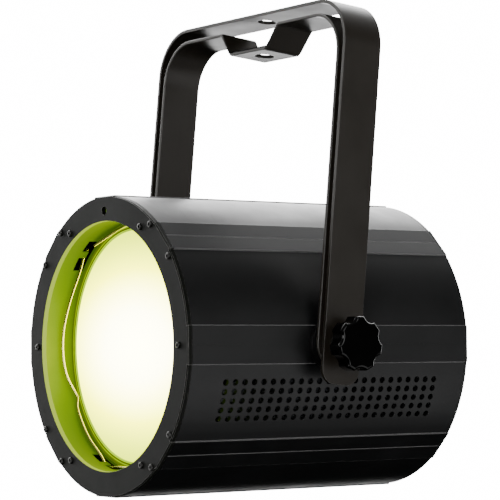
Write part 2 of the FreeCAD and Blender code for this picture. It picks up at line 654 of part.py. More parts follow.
def retaining_wire():
    """One bent spring wire round the lens. It lies off the snoot wall and the gasket, dips to the
    gasket at a kink between two windows, and is threaded outside the tab of each window.
    A stop is (degrees from its window, distance inside the snoot wall, distance off the gasket)."""
    wall = size("wire_radius + seam")
    outside = -size("snoot_wall") - wall
    behind_tab = size(f"gasket_front - {WINDOW_FRONT} - tab_depth") / 2 + size("wire_radius")
    raised = behind_tab + wall
    run = size(f"gasket_front - {WINDOW_FRONT}") / 2
    kink = 2 * wall
    hook = [(-2.6, outside, behind_tab + wall), (2.6, outside, behind_tab + wall), (8.4, wall, raised)]
    bay = hook + [(32, wall, run), (50, wall, run), (63, wall, run), (73, kink, wall), (76, kink, wall),
                  (82, wall, run - wall), (98, wall, run), (111.6, wall, raised)]
    last_bay = hook + [(38, wall, run), (60, wall, run), (78, wall, run - wall), (92, kink, wall),
                       (96, kink, wall), (111.6, wall, raised)]
    path = []
    first_window = size("window_angle")
    for window, stops in ((first_window + 120, bay), (first_window + 240, bay), (first_window, last_bay)):
        for angle, off_wall, off_gasket in stops:
            radius, y = size(SNOOT_BORE) - off_wall, size("gasket_front") - off_gasket
            path += ring_spots(radius, [window + angle], y)
    radius = size("wire_radius")
    lengths = [Part.makeCylinder(radius, (end - start).Length, start, end - start)
               for start, end in zip(path, path[1:])]
    bends = [Part.makeSphere(radius, spot) for spot in path[1:-1]]
    wire = doc.addObject("Part::Feature", "wire_feature")
    wire.Shape = lengths[0].multiFuse(lengths[1:] + bends)
    finish(wire, "lens_retaining_wire", LAMP)


# ---- optics and cooling ----
def optics():
    wall = "reflector_wall"
    wide = f"{GASKET_INNER} - reflector_wall"
    reflector = turned("reflector", [
        (wide, REFLECTOR_FRONT), (LENS_RADIUS, REFLECTOR_FRONT),
        (LENS_RADIUS, f"{REFLECTOR_FRONT} + {wall}"), (f"{wide} + {wall}", f"{REFLECTOR_FRONT} + {wall}"),
        (f"reflector_rear_radius + {wall}", REFLECTOR_REAR), ("reflector_rear_radius", REFLECTOR_REAR)])
    finish(reflector, "reflector", LAMP)
    emitter_front = f"{BOARD_FRONT} - emitter_thickness"
    holder = turned("led_holder", [
        ("emitter_radius + 2 * seam", f"{REFLECTOR_REAR} + seam"),
        ("board_size / 2 - seam", f"{REFLECTOR_REAR} + seam"),
        ("board_size / 2 - seam", BOARD_FRONT), ("emitter_radius + 2 * seam", BOARD_FRONT)])
    finish(holder, "led_holder", LAMP)
    emitter = turned("emitter", [("0", emitter_front), ("emitter_radius", emitter_front),
                                 ("emitter_radius", BOARD_FRONT), ("0", BOARD_FRONT)])
    finish(emitter, "led_emitter", LAMP)
    board = new_body("led_board")
    slab(board, "led_board_plate", BOARD_FRONT, "board_thickness",
         lambda sketch: rectangle(sketch, "0", "0", "board_size", "board_size"))
    finish(board, "led_board", LAMP)


def heat_sink():
    body = new_body("heat_sink")
    slab(body, "sink_base_plate", SINK_FRONT, "sink_base",
         lambda sketch: rectangle(sketch, "0", "0", f"2 * {SINK_HALF_WIDTH}", f"2 * {SINK_HALF_HEIGHT}"))
    fin = slab(body, "sink_fin", f"{SINK_FRONT} + sink_base", "sink_depth - sink_base",
               lambda sketch: rectangle(sketch, f"fin_thickness / 2 - {SINK_HALF_WIDTH}", "0",
                                        "fin_thickness", f"2 * {SINK_HALF_HEIGHT}"))
    fins = body.newObject("PartDesign::LinearPattern", "sink_fins")
    fins.Originals = [fin]
    fins.Direction = (origin_item(body, "X_Axis"), [""])
    bind(fins, "Length", f"2 * {SINK_HALF_WIDTH} - fin_thickness")
    bind(fins, "Occurrences", "fin_count")
    body.Tip = fins
    doc.recompute()
    finish(body, "heat_sink", LAMP)


def fan():
    body = new_body("fan_frame")
    plate = "fan_plate"

    def square(sketch):
        rectangle(sketch, "0", "0", f"2 * {SINK_HALF_HEIGHT}", f"2 * {SINK_HALF_HEIGHT}")
    slab(body, "fan_front_flange", FAN_FRONT, plate, square)
    slab(body, "fan_rear_flange", f"{FAN_FRONT} + fan_depth - {plate}", plate, square)
    slab(body, "fan_duct", FAN_FRONT, "fan_depth",
         lambda sketch: circle(sketch, "0", "0", SINK_HALF_HEIGHT))
    slot_through(body, "fan_passage", FAN_FRONT, "fan_depth",
                 lambda sketch: circle(sketch, "0", "0", FAN_BORE))

    def corners(sketch):
        reach = f"{SINK_HALF_HEIGHT} - fan_screw_inset"
        for across in ("", "-"):
            for up in ("", "-"):
                circle(sketch, f"{across}({reach})", f"{up}({reach})", "fan_screw_radius")
    slot_through(body, "fan_holes", FAN_FRONT, "fan_depth", corners)
    motor_front = f"{FAN_FRONT} + fan_depth - {plate}"
    slab(body, "motor_mount", motor_front, plate,
         lambda sketch: circle(sketch, "0", "0", "fan_hub_radius"))
    strut = slab(body, "motor_strut", motor_front, plate,
                 lambda sketch: rectangle(sketch, f"(fan_hub_radius + {FAN_BORE}) / 2", "0",
                                          f"{FAN_BORE} - fan_hub_radius + fan_rim", "fan_strut"))
    around_beam(body, "motor_struts", strut, 4)
    finish(body, "fan_frame", LAMP)

    depth = size("rotor_depth")
    front = size(f"{FAN_FRONT} + rotor_gap")
    hub = Part.makeCylinder(size("fan_hub_radius"), depth, Vector(0, front, 0), Vector(0, 1, 0))
    tip = size(f"{FAN_BORE} - fan_tip_clearance")
    root = size("fan_hub_radius - fan_blade_lap")
    thickness = size("fan_blade_thickness")
    count = int(size("fan_blades"))
    blades = []
    for number in range(count):
        blade = Part.makeBox(tip - root, thickness, depth, Vector(root, -thickness / 2, -depth / 2))
        blade.rotate(Vector(), Vector(1, 0, 0), size("fan_blade_pitch"))
        blade = blade.common(Part.makeCylinder(tip, 4 * depth, Vector(0, 0, -2 * depth)))
        blade.rotate(Vector(), Vector(0, 0, 1), number * 360 / count)
        blade.rotate(Vector(), Vector(1, 0, 0), -90)
        blade.translate(Vector(0, front + depth / 2, 0))
        blades.append(blade)
    rotor = doc.addObject("Part::Feature", "rotor_feature")
    rotor.Shape = hub.multiFuse(blades)
    finish(rotor, "fan_rotor", LAMP)


# ---- pivot, core brackets ----
def pivot_side(name, side):
    """Spacer and threaded bush on the pivot axis, the plate that holds the bush inside the can,
    and the angle of sheet that ties the plate to the heat sink."""
    spacer = turned(f"spacer_{name}", tube_corners(STUD_HOLE, "spacer_radius", "0", "spacer_thickness"))
    finish(spacer, f"pivot_spacer_{name}", on_side(side, size("flat_radius")))
    bush = turned(f"bush_{name}", tube_corners(
        STUD_HOLE, "bush_radius", "0", f"flat_radius - {PLATE_INNER} + bush_inside"))
    finish(bush, f"pivot_bush_{name}", on_side(side, size(PLATE_INNER) - size("bush_inside")))

    body = new_body(f"pivot_plate_{name}")
    outer = new_sketch(body, f"plate_{name}_sketch", "YZ_Plane")
    rectangle(outer, PIVOT_Y, "0", "plate_length", "plate_height")
    circle(outer, PIVOT_Y, "0", "bush_radius")
    pad = body.newObject("PartDesign::Pad", f"plate_{name}")
    pad.Profile = outer
    bind(pad, "Length", "plate_thickness")
    doc.recompute()
    start = size(PLATE_INNER) if side > 0 else -size(f"{PLATE_INNER} + plate_thickness")
    finish(body, f"pivot_plate_{name}", LAMP.multiply(Placement(Vector(start, 0, 0), Rotation())))

    sheet_metal = size("angle_thickness")
    foot = size(f"{SINK_HALF_WIDTH} - angle_lap")
    leg = size(PLATE_INNER)
    front = size(SINK_FRONT)
    rear = size(f"{PIVOT_Y} + plate_length / 2")
    corners = [(foot, front - sheet_metal), (leg, front - sheet_metal), (leg, rear),
               (leg - sheet_metal, rear), (leg - sheet_metal, front), (foot, front)]
    half = size("plate_height / 2 - angle_inset")
    points = [Vector(x, y, -half) for x, y in corners]
    angle = Part.Face(Part.makePolygon(points + points[:1])).extrude(Vector(0, 0, 2 * half))
    bush_hole = Part.makeCylinder(size("bush_radius") + size("bush_clearance"), 4 * sheet_metal,
                                  Vector(leg - 2 * sheet_metal, size(PIVOT_Y), 0), Vector(1, 0, 0))
    angle = angle.cut(bush_hole)
    if side < 0:
        angle = angle.mirror(Vector(), Vector(1, 0, 0))
    bracket = doc.addObject("Part::Feature", f"core_bracket_{name}_feature")
    bracket.Shape = angle
    finish(bracket, f"core_bracket_{name}", LAMP)


def clamp_side(name, side):
    washer = turned(f"arm_washer_{name}_turned", tube_corners(
        STUD_HOLE, "arm_washer_radius", "0", "arm_washer_thickness"))
    face = size(f"{INNER_ARM} + strap_thickness")
    turn = AXIS_TO_X if side > 0 else AXIS_TO_MINUS_X
    arm_frame = BRACKETS.multiply(Placement(Vector(side * face, 0, 0), turn))
    finish(washer, f"arm_washer_{name}", arm_frame)
    clamp = turned(f"clamp_washer_{name}_turned", tube_corners(
        "stud_radius + stud_clearance / 2", "clamp_washer_radius", "0", "clamp_washer_thickness"))
    finish(clamp, f"clamp_washer_{name}", on_side(side, size(CLAMP_FACE)))

    body = turned(f"knob_{name}_turned", [
        ("stud_radius", "0"), ("knob_hub_radius", "0"), ("knob_hub_radius", "knob_hub"),
        ("knob_radius", "knob_hub"), ("knob_radius", "knob_hub + knob_head"),
        ("0", "knob_hub + knob_head"), ("0", "knob_hub + knob_socket"),
        ("stud_radius", "knob_hub + knob_socket")])
    top_lobe = "90 + 180 / knob_lobes"
    centre = polar("knob_radius + scallop_centre", top_lobe)
    hollow = slot_through(body, f"scallop_{name}", "knob_hub", "knob_head",
                          lambda sketch: circle(sketch, *centre, "scallop_radius"))
    around_beam(body, f"scallops_{name}", hollow, int(size("knob_lobes")))
    head = size("knob_hub + knob_head")
    rim = size("knob_hub")
    dress(body, "Fillet", f"knob_face_{name}", on_face(head), "knob_face_round")
    reach = size("knob_hub_radius") + 1
    back = on_face(rim)
    dress(body, "Fillet", f"knob_back_{name}",
          lambda edge: back(edge) and all(math.hypot(v.X, v.Z) > reach for v in edge.Vertexes),
          "knob_back_round")
    finish(body, f"star_knob_{name}", on_side(side, size(KNOB_FACE)))

    length = f"{KNOB_FACE} + knob_hub + knob_socket - flat_radius + stud_inside"
    stud = rod(f"stud_{name}_rod", "stud_radius", length)
    frame = on_side(side, size("flat_radius - stud_inside"))
    finish(stud, f"knob_stud_{name}", frame.multiply(Placement(Vector(), ALONG_Y)))


# ---- brackets: flat strap bent round formers ----
def bent_strap(label, corners, bends, foot, foot_radius):
    """A strap drawn across the pivot axis as an outline, padded to its width, then bent corners
    rounded, ends rounded, pivot and hanging holes bored. bends lists (x, z, radius) formulas."""
    body = new_body(label)
    sketch = new_sketch(body, label + "_sketch", "XZ_Plane")
    outline(sketch, corners)
    pad = body.newObject("PartDesign::Pad", label + "_strap")
    pad.Profile = sketch
    pad.Midplane = True
    bind(pad, "Length", "strap_width")
    doc.recompute()
    for number, (x, z, radius) in enumerate(bends):
        at = (size(x), size(z))
        dress(body, "Fillet", f"{label}_bend_{number}",
              lambda edge, at=at: (edge.BoundBox.YLength > 1
                                   and math.hypot(abs(edge.CenterOfMass.x) - at[0],
                                                  edge.CenterOfMass.z - at[1]) < 0.01), radius)
    low = -size(foot)
    dress(body, "Fillet", label + "_ends",
          lambda edge: (edge.BoundBox.XLength > 1 and edge.BoundBox.YLength < 1e-4
                        and abs(edge.CenterOfMass.z - low) < 1e-3), foot_radius)
    bore = new_sketch(body, label + "_pivot_sketch", "YZ_Plane")
    circle(bore, "0", "0", STUD_HOLE)
    pivot = body.newObject("PartDesign::Pocket", label + "_pivot_holes")
    pivot.Profile = bore
    pivot.Type = "ThroughAll"
    pivot.Midplane = True
    doc.recompute()
    hang = new_sketch(body, label + "_hang_sketch", "XY_Plane")
    circle(hang, "0", "0", "hang_radius")
    hole = body.newObject("PartDesign::Pocket", label + "_hang_hole")
    hole.Profile = hang
    hole.Type = "ThroughAll"
    hole.Reversed = True
    doc.recompute()
    finish(body, label, BRACKETS)


def mirrored_outline(right_outside, right_inside):
    """Outline of a strap from its right half: outside from foot to middle, inside back down."""
    def flip(corner):
        return (f"-({corner[0]})", corner[1])
    outside = right_outside + [flip(corner) for corner in reversed(right_outside)]
    inside = [flip(corner) for corner in right_inside] + list(reversed(right_inside))
    return outside + inside


def brackets():
    inside = OUTER_ARM
    outside = f"{OUTER_ARM} + strap_thickness"
    top = "outer_height"
    under = "outer_height - strap_thickness"
    bent_strap("outer_bracket",
               mirrored_outline([(outside, "-outer_foot"), (outside, top)],
                                [(inside, "-outer_foot"), (inside, under)]),
               [(outside, top, "outer_bend"), (inside, under, "outer_bend - strap_thickness")],
               "outer_foot", "foot_corner")

    inside = INNER_ARM
    outside = f"{INNER_ARM} + strap_thickness"
    top = INNER_TOP
    under = f"{INNER_TOP} - strap_thickness"
    floor_top = f"{INNER_TOP} - hat_drop"
    floor_under = f"{INNER_TOP} - hat_drop - strap_thickness"
    slope = math.atan2(size("hat_top_half - hat_bottom_half"), size("hat_drop"))
    shift = f"strap_thickness * {math.tan(math.pi / 4 - slope / 2):.6f}"
    top_under = f"hat_top_half + {shift}"
    floor_corner = f"hat_bottom_half - {shift}"
    shape = mirrored_outline(
        [(outside, "-strap_width / 2"), (outside, top),
         ("hat_top_half", top), ("hat_bottom_half", floor_top)],
        [(inside, "-strap_width / 2"), (inside, under), (top_under, under), (floor_corner, floor_under)])
    bent_strap("inner_bracket", shape,
               [(outside, top, "inner_bend"), (inside, under, "inner_bend - strap_thickness"),
                ("hat_top_half", top, "hat_bend"), (top_under, under, "hat_bend - strap_thickness"),
                ("hat_bottom_half", floor_top, "hat_bend - strap_thickness"),
                (floor_corner, floor_under, "hat_bend")],
               "strap_width / 2", "(strap_width - inner_end_flat) / 2")


# ---- power supply and electronics ----
def electronics():
    case = block("supply_case", "supply_width", "supply_length", "supply_height")
    left, bottom = -size("supply_width") / 2, -size(SUPPLY_BOTTOM)
    front = size(f"{PANEL_FRONT} - supply_rear_room - supply_length")
    finish(case, "power_supply", LAMP.multiply(Placement(Vector(left, front, bottom), Rotation())))
    inset, radius = size("leg_inset"), size("leg_radius")
    drop = math.sqrt(size("flat_radius - wall") ** 2 - (left + inset - radius) ** 2) + bottom
    legs = []
    for x in (left + inset, -left - inset):
        for y in (front + inset, front + size("supply_length") - inset):
            legs.append(Part.makeCylinder(radius, drop, Vector(x, y, bottom - drop)))
    finish(grouped("supply_legs", legs), "power_supply_standoffs", LAMP)

    board = new_body("control_board")
    slab(board, "control_board_plate", f"{PANEL_FRONT} - board_gap - circuit_thickness", "circuit_thickness",
         lambda sketch: rectangle(sketch, "0", CIRCUIT_LEVEL, "circuit_width", "circuit_height"))
    finish(board, "control_board", LAMP)
    board_rear = size(f"{PANEL_FRONT} - board_gap")
    across = size("circuit_width / 2 - post_inset")
    up = size("circuit_height / 2 - post_inset")
    middle = size(CIRCUIT_LEVEL)
    posts = []
    for x in (-across, across):
        for z in (middle - up, middle + up):
            posts.append(Part.makeCylinder(size("post_radius"), size("board_gap"), Vector(x, board_rear, z),
                                           Vector(0, 1, 0)))
    finish(grouped("board_posts", posts), "control_board_standoffs", LAMP)
    display = new_body("display_module")
    slab(display, "display_block", f"{PANEL_FRONT} - board_gap", "board_gap - seam",
         lambda sketch: rectangle(sketch, "0", DISPLAY_LEVEL, "display_width + 2 * display_border",
                                  "display_height + display_border"))
    finish(display, "display_module", LAMP)
    window = new_body("display_window")
    slab(window, "window_pane", PANEL_FRONT, "panel_thickness - seam",
         lambda sketch: rectangle(sketch, "0", DISPLAY_LEVEL, "display_width", "display_height"))
    finish(window, "display_window", LAMP)

    rest_gap = "turning_gap / 2"
    stem = f"(board_gap - switch_height - button_travel - {rest_gap} - seam - button_flange)"
    flange_end = f"{stem} + button_flange"
    cap_end = f"({flange_end} + seam + panel_thickness + button_proud)"
    start = size(f"{PANEL_FRONT} - board_gap + switch_height + button_travel + {rest_gap}")
    flange_radius = "button_radius + button_flange"
    switch, level = size("switch_size"), size(BUTTON_LEVEL)
    switches = []
    for number in range(4):
        x = (number - 1.5) * size("button_pitch")
        corner = Vector(x - switch / 2, board_rear, level - switch / 2)
        switches.append(Part.makeBox(switch, size("switch_height"), switch, corner))
        cap = turned(f"button_cap_{number}", [
            ("0", "0"), ("button_stem", "0"), ("button_stem", stem), (flange_radius, stem),
            (flange_radius, flange_end), ("button_radius", flange_end), ("button_radius", cap_end),
            ("0", cap_end)])
        dress(cap, "Fillet", f"button_dome_{number}", on_face(size(cap_end)), "button_dome")
        frame = LAMP.multiply(Placement(Vector(x, start, level), Rotation()))
        finish(cap, f"menu_button_{number + 1}", frame)
    finish(grouped("switches", switches), "button_switches", LAMP)


# ---- rear panel and its connectors ----
def rear_panel():
    body = new_body("rear_panel")
    ribbed_plate(body, "panel", PANEL_FRONT, "panel_thickness")
    rim_holes(body, "panel", PANEL_FRONT, "panel_thickness")

    def openings(sketch):
        for number in range(4):
            circle(sketch, f"{number - 1.5} * button_pitch", BUTTON_LEVEL, "button_radius + button_clearance")
        rectangle(sketch, "0", DISPLAY_LEVEL, "display_width + 2 * display_clearance",
                  "display_height + 2 * display_clearance")
        for side in ("-", ""):
            circle(sketch, f"{side}data_spacing / 2", DATA_LEVEL, "data_barrel_radius + cutout_clearance")
            rectangle(sketch, f"{side}power_spacing / 2", "power_level",
                      "power_body_width + 2 * cutout_clearance", "power_body_height + 2 * cutout_clearance")
        circle(sketch, "0", "fuse_level", "fuse_radius + cutout_clearance")
        for column in range(-2, 3):
            rectangle(sketch, f"{column} * louvre_pitch", DATA_LEVEL, "louvre_width", "louvre_height")
        for side in ("-", ""):
            circle(sketch, f"{side}eye_half_width", EYE_LEVEL, "eye_wire + cutout_clearance")
    slot_through(body, "panel_openings", PANEL_FRONT, "panel_thickness", openings)
    slot_through(body, "latch_notch", PANEL_FRONT, "panel_thickness",
                 lambda sketch: rectangle(sketch, "data_spacing / 2", f"{DATA_LEVEL} + latch_level",
                                          "latch_width + 2 * seam", "latch_height + 2 * seam"))
    dress(body, "Chamfer", "panel_chamfer", is_outer_edge(size("lamp_length")), "edge_chamfer")
    finish(body, "rear_panel", LAMP)


def tube_along_y(x, z, radius, start, end):
    return Part.makeCylinder(radius, end - start, Vector(x, start, z), Vector(0, 1, 0))


def box_at(x, z, width, height, start, end):
    return Part.makeBox(width, end - start, height, Vector(x - width / 2, start, z - height / 2))


def flange_plate(x, z, width, height, thickness, corner):
    """A flange on the back of the rear panel, with rounded corners."""
    back = size("lamp_length")
    plate = box_at(x, z, size(width), size(height), back, back + size(thickness))
    upright = [edge for edge in plate.Edges if abs(edge.BoundBox.YLength - size(thickness)) < 1e-4]
    return plate.makeFillet(size(corner), upright)


def flange_screw(x, z, thickness):
    return screw_shape(Vector(x, size("lamp_length + " + thickness), z), Vector(0, -1, 0), size(thickness))


def contact_spots(x, z, radius, angles):
    """Three contacts on a circle about the middle of a data connector."""
    turns = [math.radians(angle) for angle in angles]
    return [(x + radius * math.cos(turn), z + radius * math.sin(turn)) for turn in turns]


def data_connectors():
    """Round three-pole connectors: the inlet holds pins in a hollow, the outlet a plug of three
    sockets inside a ring-shaped gap, with a latch above it."""
    back = size("lamp_length")
    level = size(DATA_LEVEL)
    face = back + size("data_flange_thickness")
    floor = back - size("data_depth")
    screws = []
    for name, side in (("inlet", -1), ("outlet", 1)):
        x = side * size("data_spacing") / 2
        shell = flange_plate(x, level, "data_flange_width", "data_flange_height", "data_flange_thickness",
                             "data_corner")
        shell = shell.fuse(tube_along_y(x, level, size("data_barrel_radius"),
                                        back - size("connector_inside"), back))
        for sign in (1, -1):
            spot = (x - sign * size("data_screw_across"), level + sign * size("data_screw_up"))
            shell = shell.cut(tube_along_y(*spot, size(SCREW_HOLE), back, face))
            screws.append(flange_screw(*spot, "data_flange_thickness"))
        contact = size("data_contact_radius")
        if name == "inlet":
            shell = shell.cut(tube_along_y(x, level, size("data_bore_radius"), floor, face))
            spots = contact_spots(x, level, size("data_contact_circle"), (-150, -90, -30))
            pins = [tube_along_y(*spot, contact, floor, back - size("contact_inset")) for spot in spots]
            finish(grouped("pins", pins), "data_inlet_pins", LAMP)
        else:
            gap = tube_along_y(x, level, size("data_bore_radius"), floor, face)
            plug = tube_along_y(x, level, size("data_bore_radius - data_gap"), floor, face)
            shell = shell.cut(gap.cut(plug))
            for spot in contact_spots(x, level, size("data_contact_circle"), (150, 90, 30)):
                shell = shell.cut(tube_along_y(*spot, contact, floor, face))
            latch_z = level + size("latch_level")
            room = 2 * size("seam")
            width, height = size("latch_width"), size("latch_height")
            shell = shell.cut(box_at(x, latch_z, width + room, height + room, size(PANEL_FRONT), face))
            latch = doc.addObject("Part::Feature", "latch_feature")
            latch.Shape = box_at(x, latch_z, width, height, back, face + size("latch_proud"))
            finish(latch, "data_latch", LAMP)
        part = doc.addObject("Part::Feature", f"data_{name}_feature")
        part.Shape = shell
        finish(part, f"data_{name}", LAMP)
    return screws


def power_connectors():
    """Flat three-blade connectors: the inlet's blades stand in its hollow, the outlet has slots."""
    back = size("lamp_length")
    level = size("power_level")
    face = back + size("power_flange_thickness")
    floor = back - size("power_depth")
    width, height = size("power_body_width"), size("power_body_height")
    blade_width, blade_height = size("blade_width"), size("blade_height")
    room = 2 * size("seam")
    screws = []
    for name, side in (("inlet", -1), ("outlet", 1)):
        x = side * size("power_spacing") / 2
        shell = flange_plate(x, level, "power_flange_width", "power_flange_height",
                             "power_flange_thickness", "power_corner")
        shell = shell.fuse(box_at(x, level, width, height, back - size("connector_inside"), back))
        for across in (-size("power_screw_across"), size("power_screw_across")):
            shell = shell.cut(tube_along_y(x + across, level, size(SCREW_HOLE), back, face))
            screws.append(flange_screw(x + across, level, "power_flange_thickness"))
        spread, rise = size("blade_spacing"), size("blade_rise")
        blades = [(x - spread, level + rise), (x, level - rise), (x + spread, level + rise)]
        if name == "inlet":
            wall = 2 * size("power_wall")
            shell = shell.cut(box_at(x, level, width - wall, height - wall, floor, face))
            contacts = [box_at(*spot, blade_width, blade_height, floor, back - size("contact_inset"))
                        for spot in blades]
            finish(grouped("blades", contacts), "power_inlet_blades", LAMP)
        else:
            for spot in blades:
                shell = shell.cut(box_at(*spot, blade_width + room, blade_height + room, floor, face))
        part = doc.addObject("Part::Feature", f"power_{name}_feature")
        part.Shape = shell
        finish(part, f"power_{name}", LAMP)
    return screws


def fuse_holder():
    back = size("lamp_length")
    level = size("fuse_level")
    radius = size("fuse_radius")
    cap_end = back + size("fuse_cap")
    cap = tube_along_y(0, level, radius + size("fuse_lip"), back, cap_end)
    barrel = tube_along_y(0, level, radius, back - size("fuse_inside"), back)
    slot = box_at(0, level, 2 * radius, size("fuse_slot"), cap_end - size("fuse_slot"), cap_end)
    holder = doc.addObject("Part::Feature", "fuse_feature")
    holder.Shape = barrel.fuse(cap).cut(slot)
    finish(holder, "fuse_holder", LAMP)


def safety_eye():
    """A rod bent to a U, both legs through the rear panel, with a collar on each behind it."""
    panel_front = size(PANEL_FRONT)
    half = size("eye_half_width")
    level = size(EYE_LEVEL)
    rod_radius = size("eye_wire")
    collar = size("eye_collar")
    bend_y = size("lamp_length + eye_reach") - half - rod_radius
    legs = []
    for x in (-half, half):
        legs.append(tube_along_y(x, level, rod_radius, panel_front - 1.5 * collar, bend_y))
        legs.append(tube_along_y(x, level, rod_radius + collar / 2, panel_front - collar, panel_front))
    bow = Part.makeTorus(half, rod_radius, Vector(0, bend_y, level), Vector(0, 0, 1), 0, 360, 180)
    eye = legs[0].multiFuse(legs[1:] + [bow])
    part = doc.addObject("Part::Feature", "eye_feature")
    part.Shape = eye
    finish(part, "safety_eye", LAMP)


brackets()
front_ring()
can_quarter("can_top", 90)
can_quarter("can_bottom", 270)
can_quarter("can_right", 0, vent_side=1)
can_quarter("can_left", 180, vent_side=-1)
can_screws()
snoot()
lens_and_gasket()
retaining_wire()
optics()
heat_sink()
fan()
for side_name, side_sign in (("right", 1), ("left", -1)):
    pivot_side(side_name, side_sign)
    clamp_side(side_name, side_sign)
electronics()
rear_panel()
connector_screws = data_connectors() + power_connectors()
finish(grouped("connector_screws_group", connector_screws), "connector_screws", LAMP)
fuse_holder()
safety_eye()

# ---- checks, then one STEP file for each sub-part ----
doc.recompute()
for item in doc.Objects:
    if "Invalid" in item.State or "Error" in item.State:
        raise RuntimeError(f"{item.Name} failed: {item.State}")
os.makedirs("parts", exist_ok=True)
for item in SUB_PARTS:
    if item.Shape.isNull() or not item.Shape.isValid():
        raise RuntimeError(f"{item.Label} has no valid shape")
for item in SUB_PARTS:
    item.Shape.exportStep(f"parts/{item.Label}.step")
print(len(SUB_PARTS), "sub-parts written")
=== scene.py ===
import math

import bpy
from mathutils import Matrix, Vector


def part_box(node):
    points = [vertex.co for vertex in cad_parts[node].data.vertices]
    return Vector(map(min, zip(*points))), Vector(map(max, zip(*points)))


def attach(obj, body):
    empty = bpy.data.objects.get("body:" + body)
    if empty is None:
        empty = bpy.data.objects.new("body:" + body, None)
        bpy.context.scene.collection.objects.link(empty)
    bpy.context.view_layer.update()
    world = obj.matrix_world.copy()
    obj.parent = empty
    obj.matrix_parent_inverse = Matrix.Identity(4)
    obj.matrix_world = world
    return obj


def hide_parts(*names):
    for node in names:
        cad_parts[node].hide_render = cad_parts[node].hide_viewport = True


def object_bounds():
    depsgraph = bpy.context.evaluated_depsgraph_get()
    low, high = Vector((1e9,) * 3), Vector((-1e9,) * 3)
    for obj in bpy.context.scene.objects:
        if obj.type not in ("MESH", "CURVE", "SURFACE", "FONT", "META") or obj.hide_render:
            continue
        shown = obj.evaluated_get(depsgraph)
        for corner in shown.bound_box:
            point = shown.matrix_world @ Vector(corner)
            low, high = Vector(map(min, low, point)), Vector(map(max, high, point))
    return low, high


# LED par can light on a double bracket, in metres, +Z up, with the beam leaving along -Y.
# The pieces follow in the order the light is put together, from the brackets to the knobs.
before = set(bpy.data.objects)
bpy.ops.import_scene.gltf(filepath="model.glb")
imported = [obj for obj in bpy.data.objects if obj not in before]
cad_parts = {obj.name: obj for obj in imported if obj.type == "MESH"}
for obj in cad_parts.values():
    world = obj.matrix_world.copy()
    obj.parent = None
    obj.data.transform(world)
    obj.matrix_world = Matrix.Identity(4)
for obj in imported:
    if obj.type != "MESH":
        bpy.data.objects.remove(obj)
cad_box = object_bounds()


# ---- Bracket straps ----
# Two flat steel straps, 36 x 3 mm, bent round formers and drilled, one nested inside the other.
# Their sheared edges are tumbled round, and both are powder coated a warm satin black.
def linear(code):
    """An sRGB colour such as "3a3a38" as linear red, green, blue and full alpha."""
    shares = [int(code[at:at + 2], 16) / 255 for at in (0, 2, 4)]
    return [s / 12.92 if s <= 0.04045 else ((s + 0.055) / 1.055) ** 2.4 for s in shares] + [1.0]


def add(tree, kind, settings=None, links=()):
    """Add a node, set its fields and sockets, and link (its input, from node, its output) triples.
    A colour mix has its colours at sockets 6 and 7 and its result at output 2; a number mix has its
    numbers at sockets 2 and 3."""
    node = tree.nodes.new(kind)
    for name, value in (settings or {}).items():
        if isinstance(name, int) or name in node.inputs:
            node.inputs[name].default_value = value
        else:
            setattr(node, name, value)
    for socket, other, output in links:
        tree.links.new(other.outputs[output], node.inputs[socket])
    return node


def start_material(name):
    """A new material with no nodes, and its tree."""
    material = bpy.data.materials.new(name)
    material.use_nodes = True
    material.node_tree.nodes.clear()
    return material, material.node_tree


def surface(tree, settings, links=()):
    """A material's one shader, linked to its output."""
    skin = add(tree, "ShaderNodeBsdfPrincipled", settings, links)
    add(tree, "ShaderNodeOutputMaterial", {}, [("Surface", skin, "BSDF")])


def powder_coat(name, colour, gloss, grain_mm=1.4, peel_mm=0.02, scuff=0.05, ior=1.5):
    """Fused polymer powder on metal: dark and satin, with an orange peel whose grains are drawn
    twice as coarse as the real 0.7 mm so that they show. Handling leaves it cloudy in gloss, with
    a few long faint rubs."""
    material, tree = start_material(name)
    place = add(tree, "ShaderNodeTexCoord")
    grain = add(tree, "ShaderNodeTexNoise", {"Scale": 1000 / grain_mm, "Detail": 2.0},
                [("Vector", place, "Object")])
    cloud = add(tree, "ShaderNodeTexNoise", {"Scale": 22.0, "Detail": 5.0, "Roughness": 0.62},
                [("Vector", place, "Object")])
    stretch = add(tree, "ShaderNodeMapping", {"Rotation": (0.3, 0.2, 0.5), "Scale": (12.0, 150.0, 60.0)},
                  [("Vector", place, "Object")])
    rub = add(tree, "ShaderNodeTexNoise", {"Scale": 1.0, "Detail": 6.0, "Roughness": 0.7},
              [("Vector", stretch, "Vector")])
    marks = add(tree, "ShaderNodeMapRange", {"From Min": 0.6, "From Max": 0.8, "To Max": scuff},
                [("Value", rub, "Fac")])
    bump = add(tree, "ShaderNodeBump", {"Strength": 0.3, "Distance": peel_mm / 1000},
               [("Height", grain, "Fac")])
    sheen = add(tree, "ShaderNodeMapRange", {"From Min": 0.3, "From Max": 0.7, "To Min": gloss - 0.05,
                                             "To Max": gloss + 0.06}, [("Value", cloud, "Fac")])
    rough = add(tree, "ShaderNodeMath", {"operation": "ADD", "use_clamp": True},
                [(0, sheen, "Result"), (1, marks, "Result")])
    base = linear(colour)
    tone = add(tree, "ShaderNodeMix", {"data_type": "RGBA", 6: [c * 0.8 for c in base[:3]] + [1],
                                       7: [c * 1.25 for c in base[:3]] + [1]}, [(0, cloud, "Fac")])
    surface(tree, {"IOR": ior}, [("Base Color", tone, 2), ("Roughness", rough, "Value"),
                                 ("Normal", bump, "Normal")])
    return material


def only(thing):
    """Deselect everything, then select one object and make it active."""
    bpy.ops.object.select_all(action="DESELECT")
    thing.select_set(True)
    bpy.context.view_layer.objects.active = thing


